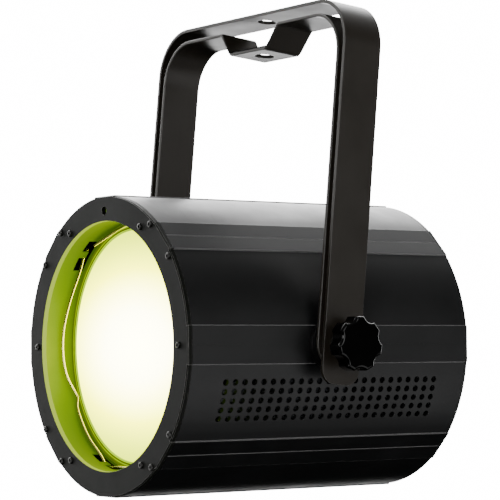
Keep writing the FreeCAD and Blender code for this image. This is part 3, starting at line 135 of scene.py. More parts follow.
def own_copy(node, name):
    """A free copy of a CAD piece, its loose triangles merged and its flat faces made whole."""
    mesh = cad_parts[node].data.copy()
    mesh.materials.clear()
    piece = bpy.data.objects.new(name, mesh)
    bpy.context.scene.collection.objects.link(piece)
    only(piece)
    bpy.ops.object.mode_set(mode="EDIT")
    bpy.ops.mesh.select_all(action="SELECT")
    bpy.ops.mesh.remove_doubles(threshold=1e-6)
    bpy.ops.mesh.dissolve_limited(angle_limit=math.radians(0.6))
    bpy.ops.object.mode_set(mode="OBJECT")
    return piece


def round_edges(piece, radius_mm, segments, sharp, face, edge=None):
    """Paint a piece, round the edges that are sharper than so many degrees, giving the rounds the lighter
    edge material where one is given, which is a painted highlight, and shade it so that its flat faces stay
    flat."""
    only(piece)
    for finish in (face, edge):
        if finish and finish.name not in piece.data.materials:
            piece.data.materials.append(finish)
    bevel = piece.modifiers.new("edges", "BEVEL")
    bevel.width = radius_mm / 1000
    bevel.segments = segments
    bevel.angle_limit = math.radians(sharp)
    bevel.use_clamp_overlap = True
    bevel.material = 1 if edge else -1  # the second material, or that of the faces beside
    bpy.ops.object.modifier_apply(modifier="edges")
    bpy.ops.object.shade_smooth_by_angle(angle=math.radians(sharp))
    even = piece.modifiers.new("flat_faces_stay_flat", "WEIGHTED_NORMAL")
    even.keep_sharp = True
    bpy.ops.object.modifier_apply(modifier="flat_faces_stay_flat")


def fit(piece, body, slot, *nodes):
    """Put a finished piece on its body and let it stand for its CAD nodes."""
    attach(piece, body)
    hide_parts(*nodes)


bracket_coat = powder_coat("warm black powder coat", "28231c", 0.37)
# The lighter coat below is a painted highlight on the rounded edges of the straps.
bracket_edge_highlight = powder_coat("warm black powder coat, painted edge highlight", "4c4a46", 0.3)
for strap in ("outer_bracket", "inner_bracket"):
    bent = own_copy(strap, strap + "_strap")
    round_edges(bent, 0.8, 3, 35.0, bracket_coat, bracket_edge_highlight)
    fit(bent, strap, "bracket_paint", strap)


# ---- Can quarters ----
# Four aluminium extrusions, each a quarter of the can, which meet at the diagonal ribs. They are
# sawn to length, punched with vents and coated satin black; the saw leaves a crisp edge.
# The second material on each shell is a painted highlight, a lighter grey laid on the rounded ribs and edges.
EDGE_HIGHLIGHT, RIB_ROUND, RIB_LENGTH, RIB_ANGLE, OUTSIDE = 1, 0.00035, 0.2, 5, 0.985


def round_ribs(shell, axis_height, flat_radius, *finishes):
    """Round the long blunt edges outside, where the flat ribs meet the round wall, and give the rounds the
    second material, a painted highlight.
    """
    for finish in finishes:
        shell.data.materials.append(finish)
    bpy.ops.object.mode_set(mode="EDIT")
    bpy.ops.mesh.select_mode(type="EDGE")
    bpy.ops.mesh.select_all(action="DESELECT")
    bpy.ops.mesh.edges_select_sharp(sharpness=math.radians(RIB_ANGLE))
    bpy.ops.object.mode_set(mode="OBJECT")
    for edge in shell.data.edges:
        one, other = (shell.data.vertices[number].co for number in edge.vertices)
        outside = math.hypot(one.x, one.z - axis_height) > OUTSIDE * flat_radius
        edge.select = edge.select and outside and (one - other).length > RIB_LENGTH
    for part in (shell.data.vertices, shell.data.polygons):
        for item in part:
            item.select = False
    for edge in shell.data.edges:
        for number in edge.vertices:
            shell.data.vertices[number].select |= edge.select
    bpy.ops.object.mode_set(mode="EDIT")
    bpy.ops.mesh.bevel(offset=RIB_ROUND, segments=2, affect="EDGES", material=EDGE_HIGHLIGHT)
    bpy.ops.object.mode_set(mode="OBJECT")


can_coat = powder_coat("satin black powder coat", "0a0b0c", 0.4, scuff=0.08)
# The lighter coat below is a painted highlight on the can's rounded edges and ribs.
can_edge_highlight = powder_coat("satin black powder coat, painted edge highlight", "747474", 0.35)
can_low, can_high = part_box("can_left")
for quarter in ("can_top", "can_bottom", "can_left", "can_right"):
    shell = own_copy(quarter, quarter + "_shell")
    round_ribs(shell, (can_low.z + can_high.z) / 2, -can_low.x, can_coat, can_edge_highlight)
    round_edges(shell, 0.4, 2, 25.0, can_coat, can_edge_highlight)
    fit(shell, "lamp", "can_paint", quarter)

# ---- Front ring ----
# A 4 mm sheet ring, laser cut, with its outer edge chamfered. It closes the front of the can and
# holds the snoot. Its powder coat is matt, so it looks greyer than the can, and its bore is lit.
ring_coat = powder_coat("matt grey-black powder coat", "12140f", 0.55, grain_mm=1.1, scuff=0.03, ior=1.25)
# The lighter coat below is a painted highlight on the ring's chamfer and edges.
ring_edge_highlight = powder_coat("grey-black powder coat, painted edge highlight", "8c8c88", 0.35)
ring = own_copy("front_ring", "front_ring_plate")
round_edges(ring, 0.3, 2, 25.0, ring_coat, ring_edge_highlight)
fit(ring, "lamp", "ring_paint", "front_ring")
BORE_FROM_FLAT, TO_AXIS, PAINTED_GLOW = 0.0195, -0.05, 2
ring_low, ring_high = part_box("front_ring")
front = ring_low.y
axis_z = (ring_low.z + ring_high.z) / 2
half = (ring_high.x - ring_low.x) / 2
# The lime light on the bore is painted: faces near the bore that turn towards the axis glow lime, over a dark
# lime base colour.
lit_edge, tree = start_material("grey-black powder coat flooded with lime light")
surface(tree, {"Base Color": linear("1c2404"), "Roughness": 0.6, "Emission Color": linear("d0ff00"),
               "Emission Strength": 0.45})
ring.data.materials.append(lit_edge)
for face in ring.data.polygons:
    inwards = face.center.x * face.normal.x + (face.center.z - axis_z) * face.normal.z
    near = math.hypot(face.center.x, face.center.z - axis_z) < half - BORE_FROM_FLAT
    if near and inwards < TO_AXIS:
        face.material_index = PAINTED_GLOW

# ---- Rear panel ----
# A 3 mm aluminium plate with the can's outline, cut for the connectors, the display and its
# buttons, and coated like the can.
panel = own_copy("rear_panel", "rear_panel_plate")
round_edges(panel, 0.2, 2, 25.0, can_coat, can_edge_highlight)
fit(panel, "lamp", "can_paint", "rear_panel")


# ---- Screws ----
# M3 button heads with a hex socket, turned from steel and chemically blackened. Eight hold the
# ring, six hold the snoot flange, eight the rear panel, and the rest hold the connectors.
def blackened_steel(name, colour, gloss):
    """Oxide finish: still a metal to the eye, dark, with a slightly oily and uneven gloss."""
    material, tree = start_material(name)
    place = add(tree, "ShaderNodeTexCoord")
    oil = add(tree, "ShaderNodeTexNoise", {"Scale": 900.0, "Detail": 3.0}, [("Vector", place, "Object")])
    rough = add(tree, "ShaderNodeMapRange", {"To Min": gloss - 0.08, "To Max": gloss + 0.1},
                [("Value", oil, "Fac")])
    surface(tree, {"Base Color": linear(colour), "Metallic": 0.8}, [("Roughness", rough, "Result")])
    return material


def faces_where(piece, test):
    """In edit mode, select just the faces whose centre and normal pass a test."""
    bpy.ops.object.mode_set(mode="OBJECT")
    for part in (piece.data.vertices, piece.data.edges, piece.data.polygons):
        for item in part:
            item.select = False
    for face in piece.data.polygons:
        face.select = test(face.center, face.normal)
    bpy.ops.object.mode_set(mode="EDIT")
    bpy.ops.mesh.select_mode(type="FACE")


HEAD_RADIUS, HEAD_HEIGHT, HEAD_ROUND = 0.00275, 0.0013, 0.0007
SOCKET_RADIUS, SOCKET_DEPTH = 0.0012, 0.0009
SHANK_RADIUS, SHANK_LENGTH = 0.0015, 0.0022
bpy.ops.object.select_all(action="DESELECT")
bpy.ops.mesh.primitive_cylinder_add(vertices=24, radius=HEAD_RADIUS, depth=HEAD_HEIGHT,
                                    location=(0, 0, HEAD_HEIGHT / 2))
screw = bpy.context.object
bpy.ops.object.transform_apply(location=True, rotation=True, scale=True)
faces_where(screw, lambda centre, normal: normal.z > 0.9)
bpy.ops.mesh.bevel(offset=HEAD_ROUND, segments=3, affect="EDGES")
faces_where(screw, lambda centre, normal: normal.z > 0.99 and centre.z > HEAD_HEIGHT * 0.9)
bpy.ops.mesh.inset(thickness=HEAD_RADIUS - HEAD_ROUND - SOCKET_RADIUS, use_even_offset=False)
bpy.ops.mesh.extrude_region_move(TRANSFORM_OT_translate={"value": (0, 0, -SOCKET_DEPTH)})
faces_where(screw, lambda centre, normal: normal.z < -0.9)
bpy.ops.mesh.extrude_region_move(TRANSFORM_OT_translate={"value": (0, 0, 0)})
bpy.ops.transform.resize(value=(SHANK_RADIUS / HEAD_RADIUS, SHANK_RADIUS / HEAD_RADIUS, 1))
bpy.ops.mesh.extrude_region_move(TRANSFORM_OT_translate={"value": (0, 0, -SHANK_LENGTH)})
bpy.ops.object.mode_set(mode="OBJECT")
only(screw)
bpy.ops.object.shade_smooth_by_angle(angle=math.radians(35))
screw.name = "screw_pattern"

black_oxide = blackened_steel("black oxide on steel", "474745", 0.4)


def set_of_screws(name, spots, facing, node):
    """Copies of the screw, heads towards a direction, joined as one piece for a CAD set."""
    turn = Vector((0, 0, 1)).rotation_difference(Vector(facing)).to_matrix().to_4x4()
    copies = []
    for spot in spots:
        copy = bpy.data.objects.new(name, screw.data.copy())
        copy.data.transform(Matrix.Translation(spot) @ turn)
        bpy.context.scene.collection.objects.link(copy)
        copies.append(copy)
    only(copies[0])
    for copy in copies:
        copy.select_set(True)
    bpy.ops.object.join()
    joined = bpy.context.object
    joined.name = name
    joined.data.materials.append(black_oxide)
    fit(joined, "lamp", "black_steel", node)


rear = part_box("rear_panel")[1].y


def around(radius, degrees, y):
    """Points round the beam axis, counted up from +X."""
    turns = [math.radians(angle) for angle in degrees]
    return [Vector((radius * math.cos(t), y, axis_z + radius * math.sin(t))) for t in turns]


RIM_INSET, FLANGE_INSET, PORT_ANGLE = 0.004, 0.013, 36
RIM_ANGLES = [quarter * 90 + side * PORT_ANGLE for quarter in range(4) for side in (-1, 1)]
rim_radius = half - RIM_INSET
set_of_screws("ring_screws", around(rim_radius, RIM_ANGLES, front), (0, -1, 0), "ring_rim_screws")
set_of_screws("snoot_screws", around(half - FLANGE_INSET, range(0, 360, 60), front), (0, -1, 0),
              "snoot_flange_screws")
set_of_screws("panel_screws", around(rim_radius, RIM_ANGLES, rear), (0, 1, 0), "rear_panel_screws")
DATA_RISE, DATA_OFFSET, DATA_FLANGE, DATA_SCREW_X, DATA_SCREW_Z = 0.005, 0.030, 0.0022, 0.0095, 0.012
POWER_DROP, POWER_OFFSET, POWER_FLANGE, POWER_SCREW_X = 0.048, 0.038, 0.0025, 0.020
connector_spots = []
for side in (-1, 1):
    for sign in (-1, 1):
        connector_spots.append(Vector((side * DATA_OFFSET - sign * DATA_SCREW_X, rear + DATA_FLANGE,
                                       axis_z + DATA_RISE + sign * DATA_SCREW_Z)))
        connector_spots.append(Vector((side * POWER_OFFSET + sign * POWER_SCREW_X, rear + POWER_FLANGE,
                                       axis_z - POWER_DROP)))
set_of_screws("plug_screws", connector_spots, (0, 1, 0), "connector_screws")
bpy.data.objects.remove(screw)

# ---- Snoot ----
# A short tube of 1.2 mm steel with a flange at the front and a lip at the back, spun and punched
# with three windows. It is enamelled pale, and the lamp behind it floods it with lime light.
RING_THICKNESS, LIT_DEPTH, LIT_HALF_HEIGHT = 0.004, 0.03, 0.095
# The lime light in the tube is painted on as a glow: strongest just behind the ring and at the height of the
# axis, mottled by noise, and yellower where it is brightest. The dark lime base colour and the lime tint in
# its reflections are painted light too.
snoot_enamel, tree = start_material("pale enamel flooded with lime light")
place = add(tree, "ShaderNodeTexCoord")
spread = add(tree, "ShaderNodeSeparateXYZ", {}, [("Vector", place, "Object")])
depth = add(tree, "ShaderNodeMapRange", {"From Min": front + RING_THICKNESS, "From Max": front + LIT_DEPTH,
                                         "To Min": 0.56, "To Max": 0.27}, [("Value", spread, "Y")])
above = add(tree, "ShaderNodeMath", {"operation": "SUBTRACT", 1: axis_z}, [(0, spread, "Z")])
off_axis = add(tree, "ShaderNodeMath", {"operation": "ABSOLUTE"}, [(0, above, "Value")])
ends = add(tree, "ShaderNodeMapRange", {"interpolation_type": "SMOOTHSTEP", "From Min": 0.0,
                                        "From Max": LIT_HALF_HEIGHT, "To Min": 1.0, "To Max": 0.32},
           [("Value", off_axis, "Value")])
drift = add(tree, "ShaderNodeTexNoise", {"Scale": 30.0, "Detail": 3.0}, [("Vector", place, "Object")])
glow_mottle = add(tree, "ShaderNodeMapRange", {"To Min": 0.8, "To Max": 1.2}, [("Value", drift, "Fac")])
shade = add(tree, "ShaderNodeMath", {"operation": "MULTIPLY"}, [(0, depth, "Result"), (1, ends, "Result")])
glow = add(tree, "ShaderNodeMath", {"operation": "MULTIPLY"}, [(0, shade, "Value"), (1, glow_mottle, "Result")])
glow_colour = add(tree, "ShaderNodeValToRGB", {}, [("Fac", glow, "Value")])
glow_colour.color_ramp.elements[0].color = linear("a4ff00")
glow_colour.color_ramp.elements[1].position, glow_colour.color_ramp.elements[1].color = 0.7, linear("ecff00")
surface(tree, {"Base Color": linear("141c00"), "Roughness": 0.5, "Specular IOR Level": 0.15,
               "Specular Tint": linear("b0ff00")},
        [("Emission Color", glow_colour, "Color"), ("Emission Strength", glow, "Value")])
tube = own_copy("snoot", "snoot_tube")
round_edges(tube, 0.3, 2, 30.0, snoot_enamel)
fit(tube, "lamp", "snoot_enamel", "snoot")

# ---- Lens ----
# A 4 mm diffuser of frosted polycarbonate. Lit from behind it is all but white at its middle and
# falls to pale yellow-green at its rim, where less light reaches it.
lens_low, lens_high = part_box("diffuser_lens")
lens_radius = (lens_high.x - lens_low.x) / 2
bpy.ops.object.select_all(action="DESELECT")
bpy.ops.mesh.primitive_cylinder_add(vertices=96, radius=lens_radius, depth=lens_high.y - lens_low.y,
                                    location=(0, (lens_low.y + lens_high.y) / 2, axis_z),
                                    rotation=(math.pi / 2, 0, 0))
lens = bpy.context.object
bpy.ops.object.transform_apply(location=True, rotation=True, scale=True)
faces_where(lens, lambda centre, normal: abs(normal.y) > 0.9)
bpy.ops.mesh.bevel(offset=0.0005, segments=2, affect="EDGES")
bpy.ops.object.mode_set(mode="OBJECT")
only(lens)
bpy.ops.object.shade_smooth_by_angle(angle=math.radians(30))
frosted, tree = start_material("frosted polycarbonate lit from behind")
place = add(tree, "ShaderNodeTexCoord")
centred = add(tree, "ShaderNodeMapping", {"Location": (0.0, 0.0, -axis_z), "Scale": (0.6, 0.0, 1.0)},
              [("Vector", place, "Object")])
distance = add(tree, "ShaderNodeVectorMath", {"operation": "LENGTH"}, [(0, centred, "Vector")])
fall = add(tree, "ShaderNodeMapRange", {"From Min": 0.0, "From Max": lens_radius,
                                        "interpolation_type": "SMOOTHSTEP"}, [("Value", distance, "Value")])
tint = add(tree, "ShaderNodeValToRGB", {}, [("Fac", fall, "Result")])
steps = tint.color_ramp.elements
steps[0].position, steps[0].color = 0.2, linear("fff4c0")
steps[1].position, steps[1].color = 1.0, linear("e8ff00")
middle = steps.new(0.7)
middle.color = linear("fbff20")
power = add(tree, "ShaderNodeMapRange", {"To Min": 18.0, "To Max": 3.5}, [("Value", fall, "Result")])
frost = add(tree, "ShaderNodeTexNoise", {"Scale": 700.0, "Detail": 2.0}, [("Vector", place, "Object")])
bump = add(tree, "ShaderNodeBump", {"Strength": 0.2, "Distance": 0.00005}, [("Height", frost, "Fac")])
surface(tree, {"Base Color": linear("30300c"), "Roughness": 0.45, "IOR": 1.58},
        [("Emission Color", tint, "Color"), ("Emission Strength", power, "Result"),
         ("Normal", bump, "Normal")])
lens.data.materials.append(frosted)
fit(lens, "lamp", "lens", "diffuser_lens")


# ---- Lens gasket ----
# A channel of clear silicone rubber pressed round the lens. It carries the lens's light along its
# lips, so it glows lime.
# The glow on the lips is painted: bright and dark rings across the channel, set by distance from the axis and
# made uneven by noise. The dark green base colour and the lime tint in its reflections are painted light too.
silicone, tree = start_material("translucent silicone")
place = add(tree, "ShaderNodeTexCoord")
centred = add(tree, "ShaderNodeMapping", {"Location": (0.0, 0.0, -axis_z), "Scale": (1.0, 0.0, 1.0)},
              [("Vector", place, "Object")])
distance = add(tree, "ShaderNodeVectorMath", {"operation": "LENGTH"}, [(0, centred, "Vector")])
GASKET_INSET, GASKET_WIDTH = 0.0265, 0.007
gasket_inner = half - GASKET_INSET
reach = add(tree, "ShaderNodeMapRange", {"From Min": gasket_inner, "From Max": gasket_inner + GASKET_WIDTH},
            [("Value", distance, "Value")])
lip = add(tree, "ShaderNodeValToRGB", {}, [("Fac", reach, "Result")])
lip.color_ramp.elements[0].color = (1.0, 1.0, 1.0, 1.0)
lip.color_ramp.elements[1].color = (0.14, 0.14, 0.14, 1.0)
for position, level in ((0.2, 1.0), (0.26, 0.06), (0.36, 0.06), (0.42, 0.6), (0.52, 0.6), (0.62, 0.16)):
    lip.color_ramp.elements.new(position).color = (level, level, level, 1.0)
glow_noise = add(tree, "ShaderNodeTexNoise", {"Scale": 120.0, "Detail": 2.0}, [("Vector", place, "Object")])
uneven_glow = add(tree, "ShaderNodeMapRange", {"To Min": 0.75, "To Max": 1.25}, [("Value", glow_noise, "Fac")])
lip_glow = add(tree, "ShaderNodeMath", {"operation": "MULTIPLY"}, [(0, lip, "Color"), (1, uneven_glow, "Result")])
surface(tree, {"Base Color": linear("1c2602"), "Roughness": 0.35, "IOR": 1.41,
               "Emission Color": linear("d0ff00"), "Specular Tint": linear("c0ff20")},
        [("Emission Strength", lip_glow, "Value")])
channel = own_copy("lens_gasket", "lens_gasket_channel")
round_edges(channel, 0.35, 3, 30.0, silicone)
fit(channel, "lamp", "gasket_silicone", "lens_gasket")


# ---- Retaining wire ----
# One length of 2.5 mm spring wire, bent by hand and plated. It springs out against the snoot and
# keeps a filter or the lens from falling forward.
def plated_metal(name, colour, gloss, grain=400.0):
    """Plated or polished metal: bright, with fine drawn or turned marks in its gloss."""
    material, tree = start_material(name)
    place = add(tree, "ShaderNodeTexCoord")
    marks = add(tree, "ShaderNodeTexNoise", {"Scale": grain, "Detail": 4.0}, [("Vector", place, "Object")])
    rough = add(tree, "ShaderNodeMapRange", {"To Min": gloss - 0.06, "To Max": gloss + 0.1},
                [("Value", marks, "Fac")])
    surface(tree, {"Base Color": linear(colour), "Metallic": 1.0}, [("Roughness", rough, "Result")])
    return material


bright_plate = plated_metal("bright nickel plate", "c8c6bc", 0.18)
# The wire's yellow tint is a painted reflection of the lime light in the snoot.
zinc_tinted_as_reflection = plated_metal("zinc plate tinted yellow as a painted lime reflection", "d2c67a", 0.22)
WIRE_RADIUS, WALL, GASKET_FRONT = 0.00125, half - 0.0196, front + 0.0285
# Each stop: degrees past the window, how far off the wall, and how far in front of the gasket.
OFF, BEHIND_TAB, RUN, BOW = 0.0014, 0.00385, 0.00565, 0.0105
HOOK = [(-2.6, -0.0026, BEHIND_TAB + OFF), (2.6, -0.0026, BEHIND_TAB + OFF), (8.4, OFF, BEHIND_TAB + OFF)]
BAY = HOOK + [(26, OFF, RUN + OFF), (44, OFF, BOW), (62, OFF, BOW - OFF), (73.5, 2 * OFF, OFF),
              (75.5, 2 * OFF, OFF), (80, OFF, RUN - OFF), (98, OFF, RUN), (111.6, OFF, BEHIND_TAB + OFF)]
LAST_BAY = HOOK + [(38, OFF, RUN), (60, OFF, RUN), (78, OFF, RUN - OFF), (92, 2 * OFF, OFF),
                   (96, 2 * OFF, OFF), (111.6, OFF, BEHIND_TAB + OFF)]
route = []
for window, stops in ((131, BAY), (251, BAY), (11, LAST_BAY)):
    for angle, off_wall, off_gasket in stops:
        route += around(WALL - off_wall, [window + angle], GASKET_FRONT - off_gasket)
line = bpy.data.curves.new("retaining_wire", "CURVE")
line.dimensions = "3D"
spline = line.splines.new("NURBS")
spline.points.add(len(route) - 1)
for point, spot in zip(spline.points, route):
    point.co = (*spot, 1.0)
spline.order_u = 3
spline.use_endpoint_u = True
spline.resolution_u = 8
line.bevel_depth = WIRE_RADIUS
line.bevel_resolution = 3
line.use_fill_caps = True
wire = bpy.data.objects.new("retaining_wire", line)
bpy.context.scene.collection.objects.link(wire)
only(wire)
bpy.ops.object.convert(target="MESH")
wire = bpy.context.object
bpy.ops.object.shade_smooth_by_angle(angle=math.radians(40))
wire.data.materials.append(zinc_tinted_as_reflection)
fit(wire, "lamp", "plated_steel", "lens_retaining_wire")


# ---- Reflector and LED ----
# A spun aluminium cone, brightened inside, stands on a moulded holder over the LED board, whose
# yellow phosphor disc covers the dies.
def paint(material, *nodes):
    """Give CAD pieces whose shape is right their material."""
    for name in nodes:
        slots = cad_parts[name].data.materials
        slots.clear()
        slots.append(material)


def moulded(name, colour, gloss, grain_mm, depth_mm, ior=1.5):
    """Moulded plastic or rubber: one colour, with the fine spark texture of its mould."""
    material, tree = start_material(name)
    place = add(tree, "ShaderNodeTexCoord")
    spark = add(tree, "ShaderNodeTexNoise", {"Scale": 1000 / grain_mm, "Detail": 3.0},
                [("Vector", place, "Object")])
    bump = add(tree, "ShaderNodeBump", {"Strength": 0.4, "Distance": depth_mm / 1000},
               [("Height", spark, "Fac")])
    flow = add(tree, "ShaderNodeTexNoise", {"Scale": 60.0, "Detail": 2.0}, [("Vector", place, "Object")])
    rough = add(tree, "ShaderNodeMapRange", {"To Min": gloss - 0.05, "To Max": gloss + 0.05},
                [("Value", flow, "Fac")])
    surface(tree, {"Base Color": linear(colour), "IOR": ior},
            [("Roughness", rough, "Result"), ("Normal", bump, "Normal")])
    return material


black_pa = moulded("black glass-filled nylon", "121213", 0.45, 0.5, 0.02)
paint(plated_metal("brightened spun aluminium", "e2e2e0", 0.12, 250.0), "reflector")
paint(black_pa, "led_holder")
paint(moulded("phosphor in silicone gel", "e8d050", 0.35, 0.8, 0.03, 1.41), "led_emitter")

# ---- Heat sink and fan ----
# An extruded aluminium heat sink, anodised grey, backs the LED board. A 25 mm deep fan of black
# plastic is screwed to the fin tips; its rotor turns freely.
# The anodised grey below is kept dark as painted shade for the inside of the can seen through the vents; the
# LED board shares it.
grey_anodised_painted_shade = plated_metal("grey anodised aluminium, darkened as painted shade", "54565a", 0.3)
paint(grey_anodised_painted_shade, "led_board", "heat_sink")
paint(black_pa, "fan_frame", "fan_rotor")

# ---- Pivots ----
# A steel bush on each side is held by a thick plate inside the can and tied to the heat sink by a
# folded bracket. Nylon washers and spacers outside let both straps turn without biting.
zinc = plated_metal("bright zinc plate", "aeb2b4", 0.34, 180.0)
paint(zinc, "pivot_plate_left", "pivot_plate_right", "core_bracket_left", "core_bracket_right")
paint(bright_plate, "pivot_bush_left", "pivot_bush_right")
smooth_nylon = moulded("black nylon", "0d0d0d", 0.4, 0.9, 0.015, 1.53)
for side in ("left", "right"):
    for node, body in (("pivot_spacer_" + side, "lamp"), ("arm_washer_" + side, "inner_bracket")):
        washer = own_copy(node, node + "_ring")
        round_edges(washer, 0.4, 2, 30.0, smooth_nylon)
        fit(washer, body, "nylon", node)
    washer = own_copy("clamp_washer_" + side, f"clamp_washer_{side}_ring")
    round_edges(washer, 0.25, 2, 30.0, black_oxide)
    fit(washer, "clamp_washer_" + side, "black_steel", "clamp_washer_" + side)

# ---- Clamp knobs ----
# Seven-lobed star knobs moulded in glossy black nylon over an M8 stud. The lobes are full and
# round, with a narrow flat at the face, and the back carries a plain hub.
gloss_nylon = moulded("glossy black nylon", "020202", 0.1, 6.0, 0.04, 1.4)
for side in ("left", "right"):
    knob = own_copy("star_knob_" + side, f"star_knob_{side}_head")
    round_edges(knob, 1.0, 3, 40.0, gloss_nylon)
    fit(knob, "knob_" + side, "knob_plastic", "star_knob_" + side)
paint(bright_plate, "knob_stud_left", "knob_stud_right")

# ---- Power supply and control board ----
# A zinc plated steel case on four legs holds the supply. The green control board stands off the
# rear panel on posts and carries four push switches and the display.
paint(zinc, "power_supply", "power_supply_standoffs", "control_board_standoffs")
solder_mask, tree = start_material("green solder mask over copper tracks")
place = add(tree, "ShaderNodeTexCoord")
tracks = add(tree, "ShaderNodeTexVoronoi", {"Scale": 320.0, "distance": "MANHATTAN",
                                            "feature": "DISTANCE_TO_EDGE"}, [("Vector", place, "Object")])
lines = add(tree, "ShaderNodeMapRange", {"From Min": 0.02, "From Max": 0.06}, [("Value", tracks, "Distance")])
mask = add(tree, "ShaderNodeMix", {"data_type": "RGBA", 6: linear("1c6a34"), 7: linear("0a3a1a")},
           [(0, lines, "Result")])
surface(tree, {"Roughness": 0.3}, [("Base Color", mask, 2)])
paint(solder_mask, "control_board")
paint(black_pa, "button_switches")
dark_glass = moulded("dark display window", "05060a", 0.06, 20.0, 0.01)
paint(dark_glass, "display_module")
pane = own_copy("display_window", "display_pane")
round_edges(pane, 0.4, 2, 30.0, dark_glass)
fit(pane, "lamp", "display_glass", "display_window")

# ---- Menu buttons ----
# Four grey silicone keys that stand through the rear panel and press the switches behind it.
grey_silicone = moulded("grey silicone rubber", "3c3d3f", 0.6, 0.7, 0.03, 1.41)
for number in range(1, 5):
    key = own_copy(f"menu_button_{number}", f"menu_key_{number}")
    round_edges(key, 0.3, 2, 30.0, grey_silicone)
    fit(key, f"menu_button_{number}", "button_rubber", f"menu_button_{number}")

# ---- Data connectors ----
# Round three-pole connectors, die cast in zinc and painted black, with brass contacts. The outlet
# has a sprung release latch above its mouth.
die_cast = blackened_steel("black painted zinc casting", "19191a", 0.4)
die_cast_worn = blackened_steel("black painted zinc casting, rubbed", "6c6c6c", 0.35)
for node in ("data_inlet", "data_outlet"):
    casting = own_copy(node, node + "_casting")
    round_edges(casting, 0.25, 2, 30.0, die_cast, die_cast_worn)
    fit(casting, "lamp", "connector_shell", node)
latch = own_copy("data_latch", "data_latch_key")
round_edges(latch, 0.4, 2, 30.0, black_pa)
fit(latch, "data_latch", "connector_plastic", "data_latch")
paint(plated_metal("hard gold on brass", "c9a55c", 0.22), "data_inlet_pins", "power_inlet_blades")

# ---- Power connectors, fuse and safety eye ----
# Flat three-blade mains connectors and a screw-in fuse holder, moulded in black nylon, and a bent
# steel rod behind the panel for the safety cable.
for node in ("power_inlet", "power_outlet", "fuse_holder"):
    moulding = own_copy(node, node + "_moulding")
    round_edges(moulding, 0.3, 2, 30.0, black_pa)
    fit(moulding, "lamp", "connector_plastic", node)
eye_rod = own_copy("safety_eye", "safety_eye_rod")
round_edges(eye_rod, 0.3, 2, 50.0, bright_plate)
fit(eye_rod, "lamp", "plated_steel", "safety_eye")

# ---- Camera ----
# It stands to the front right of the light, level with the lens, and looks slightly up.
AZIMUTH, ELEVATION, ROLL = math.radians(54.866), math.radians(-2.72), math.radians(-0.458)
EYE_IN_CAN_RADII, FOCAL_MM, SENSOR_MM = (12.599, -7.679, -0.0674), 159.4, 36
eye = Vector((0, front, axis_z)) + half * Vector(EYE_IN_CAN_RADII)
back = Vector((math.sin(AZIMUTH) * math.cos(ELEVATION), -math.cos(AZIMUTH) * math.cos(ELEVATION),
               math.sin(ELEVATION)))
level = (-back).cross(Vector((0, 0, 1))).normalized()
upright = level.cross(-back)
across = level * math.cos(ROLL) + upright * math.sin(ROLL)
up = upright * math.cos(ROLL) - level * math.sin(ROLL)
optics = bpy.data.cameras.new("camera")
optics.lens = FOCAL_MM
optics.sensor_width = SENSOR_MM
camera = bpy.data.objects.new("camera", optics)
camera.matrix_world = Matrix.Translation(eye) @ Matrix((across, up, back)).transposed().to_4x4()
bpy.context.scene.collection.objects.link(camera)
bpy.context.scene.camera = camera

# ---- Studio ----
# A pale floor far below the hanging light, and a light tent round it: a white backdrop beyond the
# light, seven soft panels, a ceiling that grows brighter overhead, and black below.
FLOOR_SIZE, FLOOR_DROP, SEEN_WHITE = 12, 0.9, 16.0
bpy.ops.object.select_all(action="DESELECT")
bpy.ops.mesh.primitive_plane_add(size=FLOOR_SIZE, location=(0, 0, cad_box[0][2] - FLOOR_DROP))
floor = bpy.context.object
floor.name = "floor"
floor.visible_glossy = False
floor.visible_diffuse = False
pale_paint = moulded("pale floor paint", "dededc", 0.7, 4.0, 0.05)
floor.data.materials.append(pale_paint)

world = bpy.data.worlds.new("studio")
world.use_nodes = True
room = world.node_tree
room.nodes.clear()
looking = add(room, "ShaderNodeTexCoord")
height = add(room, "ShaderNodeSeparateXYZ", {}, [("Vector", looking, "Generated")])


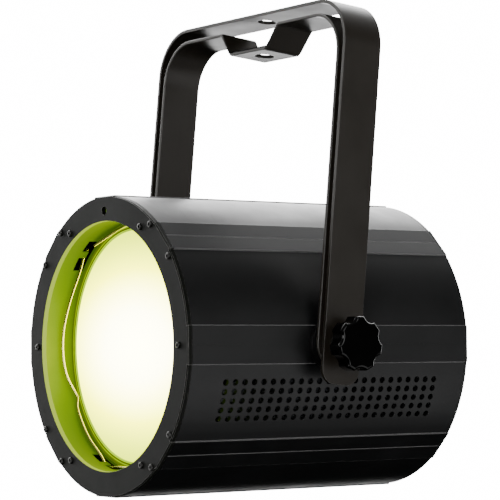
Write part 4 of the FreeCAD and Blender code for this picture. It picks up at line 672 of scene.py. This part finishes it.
def tent_panel(direction, edge, core, strength):
    """A soft round panel on the tent: strength within core, none past edge (cosines to its middle)."""
    middle = Vector(direction).normalized()
    towards = add(room, "ShaderNodeVectorMath", {"operation": "DOT_PRODUCT", 1: middle},
                  [(0, looking, "Generated")])
    return add(room, "ShaderNodeMapRange", {"interpolation_type": "SMOOTHSTEP", "From Min": edge,
                                            "From Max": core, "To Max": strength},
               [("Value", towards, "Value")])


def both(first, second, operation="ADD"):
    return add(room, "ShaderNodeMath", {"operation": operation},
               [(0, first, first.outputs[0].name), (1, second, second.outputs[0].name)])


backdrop = tent_panel((-back.x, -back.y, 0), 0.5, 0.9, 8.0)
horizon = add(room, "ShaderNodeMapRange", {"interpolation_type": "SMOOTHSTEP", "From Min": -0.36,
                                           "From Max": -0.12}, [("Value", height, "Z")])
total = both(backdrop, horizon, "MULTIPLY")
for direction, edge, core, strength in (
        ((0.72, 0.45, -0.5), 0.86, 0.96, 1.0),      # low on the right, for the vented side
        ((0.98, 0.18, 0.1), 0.95, 0.985, 3.2),      # right, for the arm and the side rib
        ((-0.75, -0.6, 0.1), 0.6, 0.95, 0.6),       # front left, for the ring
        ((-0.2, 0.8, 0.55), 0.75, 0.95, 0.5),       # high at the back, for the upper wall
        ((-0.8, 0.0, 0.6), 0.85, 0.95, 6.0),        # high on the left, for the top of the can
        ((-0.5, 0.4, 0.77), 0.94, 0.98, 3.0),       # overhead, for the diagonal rib
        ((0.6, -0.78, 0.1), 0.97, 0.99, 9.0)):      # beside the camera, for small bright lines
    total = both(total, tent_panel(direction, edge, core, strength))
ceiling = add(room, "ShaderNodeMapRange", {"From Min": -0.2, "From Max": 0.9, "To Min": 0.01,
                                           "To Max": 0.15}, [("Value", height, "Z")])
total = both(total, ceiling)
seen = add(room, "ShaderNodeLightPath")
bright = add(room, "ShaderNodeMix", {"data_type": "FLOAT", 3: SEEN_WHITE},
             [(0, seen, "Is Camera Ray"), (2, total, "Value")])
sky = add(room, "ShaderNodeBackground", {"Color": (1, 1, 1, 1)}, [("Strength", bright, 0)])
add(room, "ShaderNodeOutputWorld", {}, [("Surface", sky, "Background")])
bpy.context.scene.world = world
